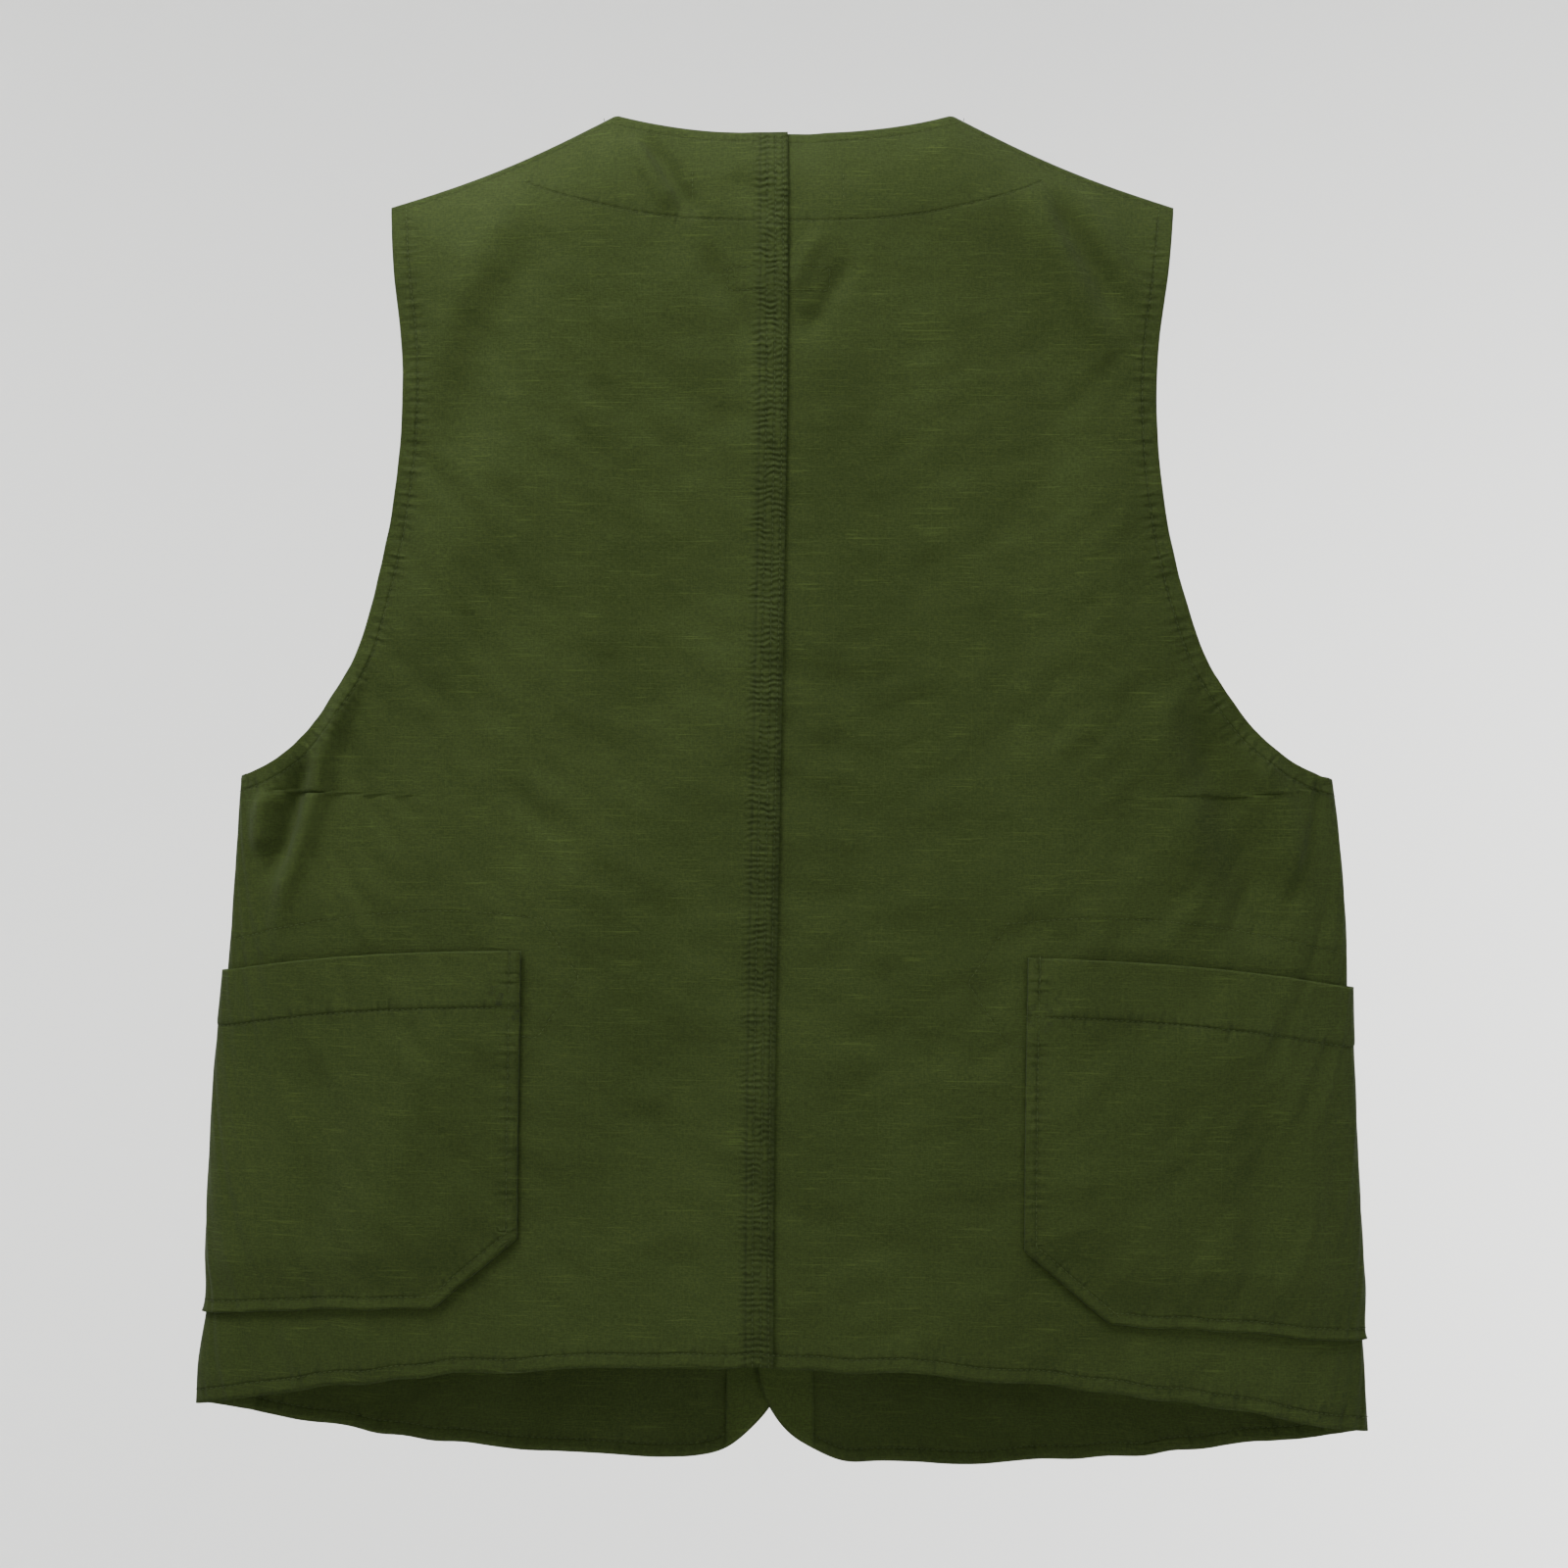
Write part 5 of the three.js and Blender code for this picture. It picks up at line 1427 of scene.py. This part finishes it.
def button_mesh(name, width, height):
    """A dished four-hole button about its own +Z, as a mesh."""
    r, h = width / 2, height
    profile = [(share * r, rise * h) for share, rise in BUTTON_PROFILE]
    sides = 40
    vertices, faces = [(0, 0, profile[0][1])], []
    for radius, z in profile[1:-1]:
        vertices += [(radius * math.cos(2 * math.pi * k / sides), radius * math.sin(2 * math.pi * k / sides), z)
                     for k in range(sides)]
    vertices.append((0, 0, 0))
    rings = len(profile) - 2
    for k in range(sides):
        n = (k + 1) % sides
        faces.append((0, 1 + k, 1 + n))
        for i in range(rings - 1):
            faces.append((1 + i * sides + k, 1 + (i + 1) * sides + k, 1 + (i + 1) * sides + n, 1 + i * sides + n))
        faces.append((len(vertices) - 1, 1 + (rings - 1) * sides + n, 1 + (rings - 1) * sides + k))
    disc = new_object(name, vertices, faces)
    drill_vertices, drill_faces = [], []
    for ax, ay in ((1, 1), (1, -1), (-1, 1), (-1, -1)):
        base = len(drill_vertices)
        for z in (-h, 2 * h):
            drill_vertices += [(ax * 1.8 * MM + 0.9 * MM * math.cos(2 * math.pi * k / 12),
                                ay * 1.8 * MM + 0.9 * MM * math.sin(2 * math.pi * k / 12), z) for k in range(12)]
        for k in range(12):
            n = (k + 1) % 12
            drill_faces.append((base + k, base + n, base + 12 + n, base + 12 + k))
        drill_faces.append(tuple(base + k for k in reversed(range(12))))
        drill_faces.append(tuple(base + 12 + k for k in range(12)))
    drill = new_object("button_drill", drill_vertices, drill_faces)
    cut = disc.modifiers.new("holes", "BOOLEAN")
    cut.operation, cut.object, cut.solver = "DIFFERENCE", drill, "EXACT"
    graph = bpy.context.evaluated_depsgraph_get()
    made = bpy.data.meshes.new_from_object(disc.evaluated_get(graph))
    for obj in (disc, drill):
        bpy.data.objects.remove(obj)
    return made


def thread_cross(width_lift, height):
    """Two thread bars through a button's holes and the shank under it, about +Z."""
    vertices, faces = [], []

    def tube(path, radius, sides=8):
        path = np.array(path)
        base = len(vertices)
        for k, point in enumerate(path):
            step = path[min(k + 1, len(path) - 1)] - path[max(k - 1, 0)]
            step = step / np.linalg.norm(step)
            side = np.cross(step, (0.31, 0.27, 0.91))
            side /= np.linalg.norm(side)
            other = np.cross(step, side)
            vertices.extend(point + radius * (math.cos(2 * math.pi * j / sides) * side
                                              + math.sin(2 * math.pi * j / sides) * other) for j in range(sides))
        for k in range(len(path) - 1):
            for j in range(sides):
                n = (j + 1) % sides
                faces.append((base + k * sides + j, base + k * sides + n, base + (k + 1) * sides + n,
                              base + (k + 1) * sides + j))
        faces.append(tuple(base + j for j in reversed(range(sides))))
        faces.append(tuple(base + (len(path) - 1) * sides + j for j in range(sides)))

    for sign in (1, -1):
        for off in (-0.25, 0.25):
            y = (sign * 1.8 + off) * MM
            tube([(-1.8 * MM, y, 0.1 * height), (-1.75 * MM, y, 0.5 * height), (-1.2 * MM, y, 0.62 * height),
                  (1.2 * MM, y, 0.62 * height), (1.75 * MM, y, 0.5 * height), (1.8 * MM, y, 0.1 * height)], 0.28 * MM)
    rng = np.random.default_rng(4)
    for k in range(9):
        a = 2 * math.pi * k / 9
        twist = a + 0.9
        r = 1.15 * MM
        tube([(r * math.cos(a), r * math.sin(a), 0.05 * height),
              (0.85 * r * math.cos((a + twist) / 2), 0.85 * r * math.sin((a + twist) / 2), -width_lift / 2),
              (r * math.cos(twist), r * math.sin(twist), -width_lift)], (0.3 + 0.04 * rng.random()) * MM, 6)
    return vertices, faces


class VEST_OT_buttons(bpy.types.Operator):
    """Buttons, their threads and the stitched buttonholes"""

    bl_idname = "vest.buttons"
    bl_label = "Buttons"

    def execute(self, context):
        """Make every button."""
        settings = context.scene.vest
        heights = [TOP_CORNER_Z - 18 * MM - k * 86 * MM for k in range(4)]
        lapped = front_layer(1)
        for k, z in enumerate(heights):
            self.button(f"front_button_{k + 1}", RIGHT, lapped, np.pi, z, settings.button_width, 3 * MM, 1.1 * MM,
                        2 * LAYER + 0.6 * MM)
            self.buttonhole(f"buttonhole_{k + 1}", LEFT, lapped, np.pi, z, 17 * MM, upright=False)
        angle = float(front_angle((CHEST["near"] + CHEST["far"]) / 2, FLAP["hinge"] - FLAP["button_down"]))
        z = FLAP["hinge"] - FLAP["button_down"]
        for word, side in (("left", 1), ("right", -1)):
            layer = flap_layer(side)
            self.button(f"{word}_flap_button", ROOT, layer, angle, z, 13 * MM, 2.8 * MM, 1.3 * MM, 2.4 * MM)
            self.buttonhole(f"{word}_flap_buttonhole", f"{word}_flap", layer, angle, z, 15 * MM, upright=True)
        return {"FINISHED"}

    def frame_at(self, layer, angle, z, off):
        """A point and three directions: across, up, out."""
        point, out = layer.at(np.array([angle]), np.array([z]), off)
        out = out[0]
        across = np.cross((0, 0, 1), out)
        across /= np.linalg.norm(across)
        return point[0], np.stack([across, np.cross(out, across), out])

    def button(self, node, body, layer, angle, z, width, height, stand, shank):
        """A button in the place of its frame node, and its thread."""
        point, axes = self.frame_at(layer, angle, z, stand)
        mesh = button_mesh(node, width, height)
        count = len(mesh.vertices)
        local = np.empty(count * 3)
        mesh.vertices.foreach_get("co", local)
        mesh.vertices.foreach_set("co", (local.reshape(-1, 3) @ axes + point).ravel())
        mesh.materials.clear()
        mesh.materials.append(MATERIALS["button"])
        disc = bpy.data.objects.new(f"{node}_disc", mesh)
        bpy.context.scene.collection.objects.link(disc)
        mesh.polygons.foreach_set("use_smooth", [True] * len(mesh.polygons))
        mesh.set_sharp_from_angle(angle=math.radians(50))
        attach(disc, body)
        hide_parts(node)
        vertices, faces = thread_cross(shank, height)
        thread = new_object(f"{node}_sewing", np.array(vertices) @ axes + point, faces)
        thread.data.materials.append(MATERIALS["sewing_thread"])
        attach(thread, body)
        front = node.startswith("front")
        label = node.replace("button_", "button_thread_") if front else f"{node}_thread"
        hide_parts(label)

    def buttonhole(self, name, body, layer, angle, z, length, upright):
        """A slit's thick thread border, following the cloth."""
        turns, ring = 48, 6
        vertices, faces = [], []
        _, axes = self.frame_at(layer, angle, z, 0)
        for k in range(turns):
            a = 2 * math.pi * k / turns
            along = (length / 2 - 1.2 * MM) * np.clip(1.35 * math.cos(a), -1, 1) + 1.2 * MM * math.cos(a)
            wide = 1.15 * MM * math.sin(a)
            across, up = (wide, along) if upright else (along, wide)
            spot = float(half_width(np.array(z)) * math.sin(angle)) + across
            place = float(np.pi - np.arcsin(np.clip(spot / float(half_width(np.array(z))), -1, 1)))
            base, out = layer.at(np.array([place]), np.array([z + up]), 0.45 * MM)
            centre = np.array([math.cos(a), math.sin(a)])
            shares = centre * ((1, 0.3) if upright else (0.3, 1))
            flat = axes[0] * shares[0] + axes[1] * shares[1]
            flat = flat / max(np.linalg.norm(flat), 1e-9)
            radius = (0.62 + 0.08 * (k % 2)) * MM
            for j in range(ring):
                b = 2 * math.pi * j / ring
                vertices.append(base[0] + radius * (math.cos(b) * flat + 0.6 * math.sin(b) * out[0]))
        for k in range(turns):
            n = (k + 1) % turns
            for j in range(ring):
                m = (j + 1) % ring
                faces.append((k * ring + j, n * ring + j, n * ring + m, k * ring + m))
        obj = new_object(name, vertices, faces)
        obj.data.materials.append(MATERIALS["sewing_thread"])
        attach(obj, body)


def stitch_tree():
    """Geometry nodes: one small thread stitch every pitch along each row."""
    tree = bpy.data.node_groups.new("topstitching", "GeometryNodeTree")
    sockets = {}
    tree.interface.new_socket(name="Geometry", in_out="INPUT", socket_type="NodeSocketGeometry")
    for label, default in (("Pitch", 2.9 * MM), ("Length", 2.1 * MM), ("Thread", 0.4 * MM)):
        socket = tree.interface.new_socket(name=label, in_out="INPUT", socket_type="NodeSocketFloat")
        socket.default_value = default
        sockets[label] = socket.identifier
    tree.interface.new_socket(name="Geometry", in_out="OUTPUT", socket_type="NodeSocketGeometry")
    nodes, links = tree.nodes, tree.links
    given, made = nodes.new("NodeGroupInput"), nodes.new("NodeGroupOutput")
    curve = nodes.new("GeometryNodeMeshToCurve")
    even = nodes.new("GeometryNodeResampleCurve")
    even.mode = "LENGTH"
    ball = nodes.new("GeometryNodeMeshUVSphere")
    ball.inputs["Segments"].default_value = 6
    ball.inputs["Rings"].default_value = 4
    ball.inputs["Radius"].default_value = 0.5
    size = nodes.new("ShaderNodeCombineXYZ")
    shape = nodes.new("GeometryNodeTransform")
    spread = nodes.new("GeometryNodeInstanceOnPoints")
    tangent = nodes.new("GeometryNodeInputTangent")
    named = nodes.new("GeometryNodeInputNamedAttribute")
    named.data_type = "FLOAT_VECTOR"
    named.inputs["Name"].default_value = "cloth_out"
    along = nodes.new("FunctionNodeAlignRotationToVector")
    along.axis = "X"
    outward_node = nodes.new("FunctionNodeAlignRotationToVector")
    outward_node.axis, outward_node.pivot_axis = "Z", "X"
    real = nodes.new("GeometryNodeRealizeInstances")
    paint = nodes.new("GeometryNodeSetMaterial")
    paint.inputs["Material"].default_value = MATERIALS["sewing_thread"]
    for source, made_by, target, goes_to in (
            (given, "Geometry", curve, "Mesh"), (curve, "Curve", even, "Curve"), (given, "Pitch", even, "Length"),
            (given, "Length", size, 0), (given, "Thread", size, 1), (given, "Thread", size, 2),
            (ball, "Mesh", shape, "Geometry"), (size, 0, shape, "Scale"), (even, "Curve", spread, "Points"),
            (shape, "Geometry", spread, "Instance"), (tangent, "Tangent", along, "Vector"),
            (along, "Rotation", outward_node, "Rotation"), (named, "Attribute", outward_node, "Vector"),
            (outward_node, "Rotation", spread, "Rotation"), (spread, "Instances", real, "Geometry"),
            (real, "Geometry", paint, "Geometry"), (paint, "Geometry", made, "Geometry")):
        links.new(source.outputs[made_by], target.inputs[goes_to])
    return tree, sockets


class VEST_OT_stitches(bpy.types.Operator):
    """Every row of topstitching"""

    bl_idname = "vest.stitches"
    bl_label = "Topstitching"

    def execute(self, context):
        """Bake one stitch mesh for each body or front cloth."""
        settings = context.scene.vest
        tree, sockets = stitch_tree()
        for group, rows in STITCH_ROWS.items():
            vertices, edges, out = [], [], []
            for points, normals in rows:
                base = len(vertices)
                vertices.extend(points.tolist())
                out.extend(normals.tolist())
                edges.extend((base + k, base + k + 1) for k in range(len(points) - 1))
            mesh = bpy.data.meshes.new("stitch_rows")
            mesh.from_pydata(vertices, edges, [])
            mesh.attributes.new("cloth_out", "FLOAT_VECTOR", "POINT").data.foreach_set(
                "vector", np.array(out, np.float32).ravel())
            rail = bpy.data.objects.new("stitch_rows", mesh)
            context.scene.collection.objects.link(rail)
            modifier = rail.modifiers.new("topstitching", "NODES")
            modifier.node_group = tree
            modifier[sockets["Pitch"]] = settings.stitch_pitch
            modifier[sockets["Length"]] = settings.stitch_length
            modifier[sockets["Thread"]] = settings.thread_width
            graph = context.evaluated_depsgraph_get()
            made = bpy.data.meshes.new_from_object(rail.evaluated_get(graph))
            bpy.data.objects.remove(rail)
            if not len(made.polygons):
                raise RuntimeError(f"no stitches were made for {group}")
            made.polygons.foreach_set("use_smooth", [True] * len(made.polygons))
            obj = bpy.data.objects.new(f"{group}_stitches", made)
            context.scene.collection.objects.link(obj)
            if group.endswith("_front_cloth"):
                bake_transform(obj)
            else:
                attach(obj, group)
        return {"FINISHED"}


class VEST_PT_panel(bpy.types.Panel):
    """Lists the vest's pieces in the sidebar"""

    bl_idname = "VEST_PT_panel"
    bl_label = "Fishing vest"
    bl_space_type = "VIEW_3D"
    bl_region_type = "UI"
    bl_category = "Vest"

    def draw(self, context):
        """Settings and one button for each step."""
        column = self.layout.column(align=True)
        for name in VestSettings.__annotations__:
            column.prop(context.scene.vest, name)
        for step in STEPS:
            self.layout.operator(step.bl_idname)


STEPS = (VEST_OT_stage, VEST_OT_back, VEST_OT_fronts, VEST_OT_lower_pockets, VEST_OT_chest_pockets, VEST_OT_inside,
         VEST_OT_buttons, VEST_OT_stitches)
CLASSES = (VestSettings, *STEPS, VEST_PT_panel)


def register():
    """Register the classes and the settings."""
    for item in CLASSES:
        bpy.utils.register_class(item)
    bpy.types.Scene.vest = PointerProperty(type=VestSettings)


def unregister():
    """Take them away again."""
    del bpy.types.Scene.vest
    for item in reversed(CLASSES):
        bpy.utils.unregister_class(item)


def main():
    """Make the whole vest."""
    register()
    for step in STEPS:
        group, name = step.bl_idname.split(".")
        getattr(getattr(bpy.ops, group), name)()


if __name__ == "__main__":
    main()
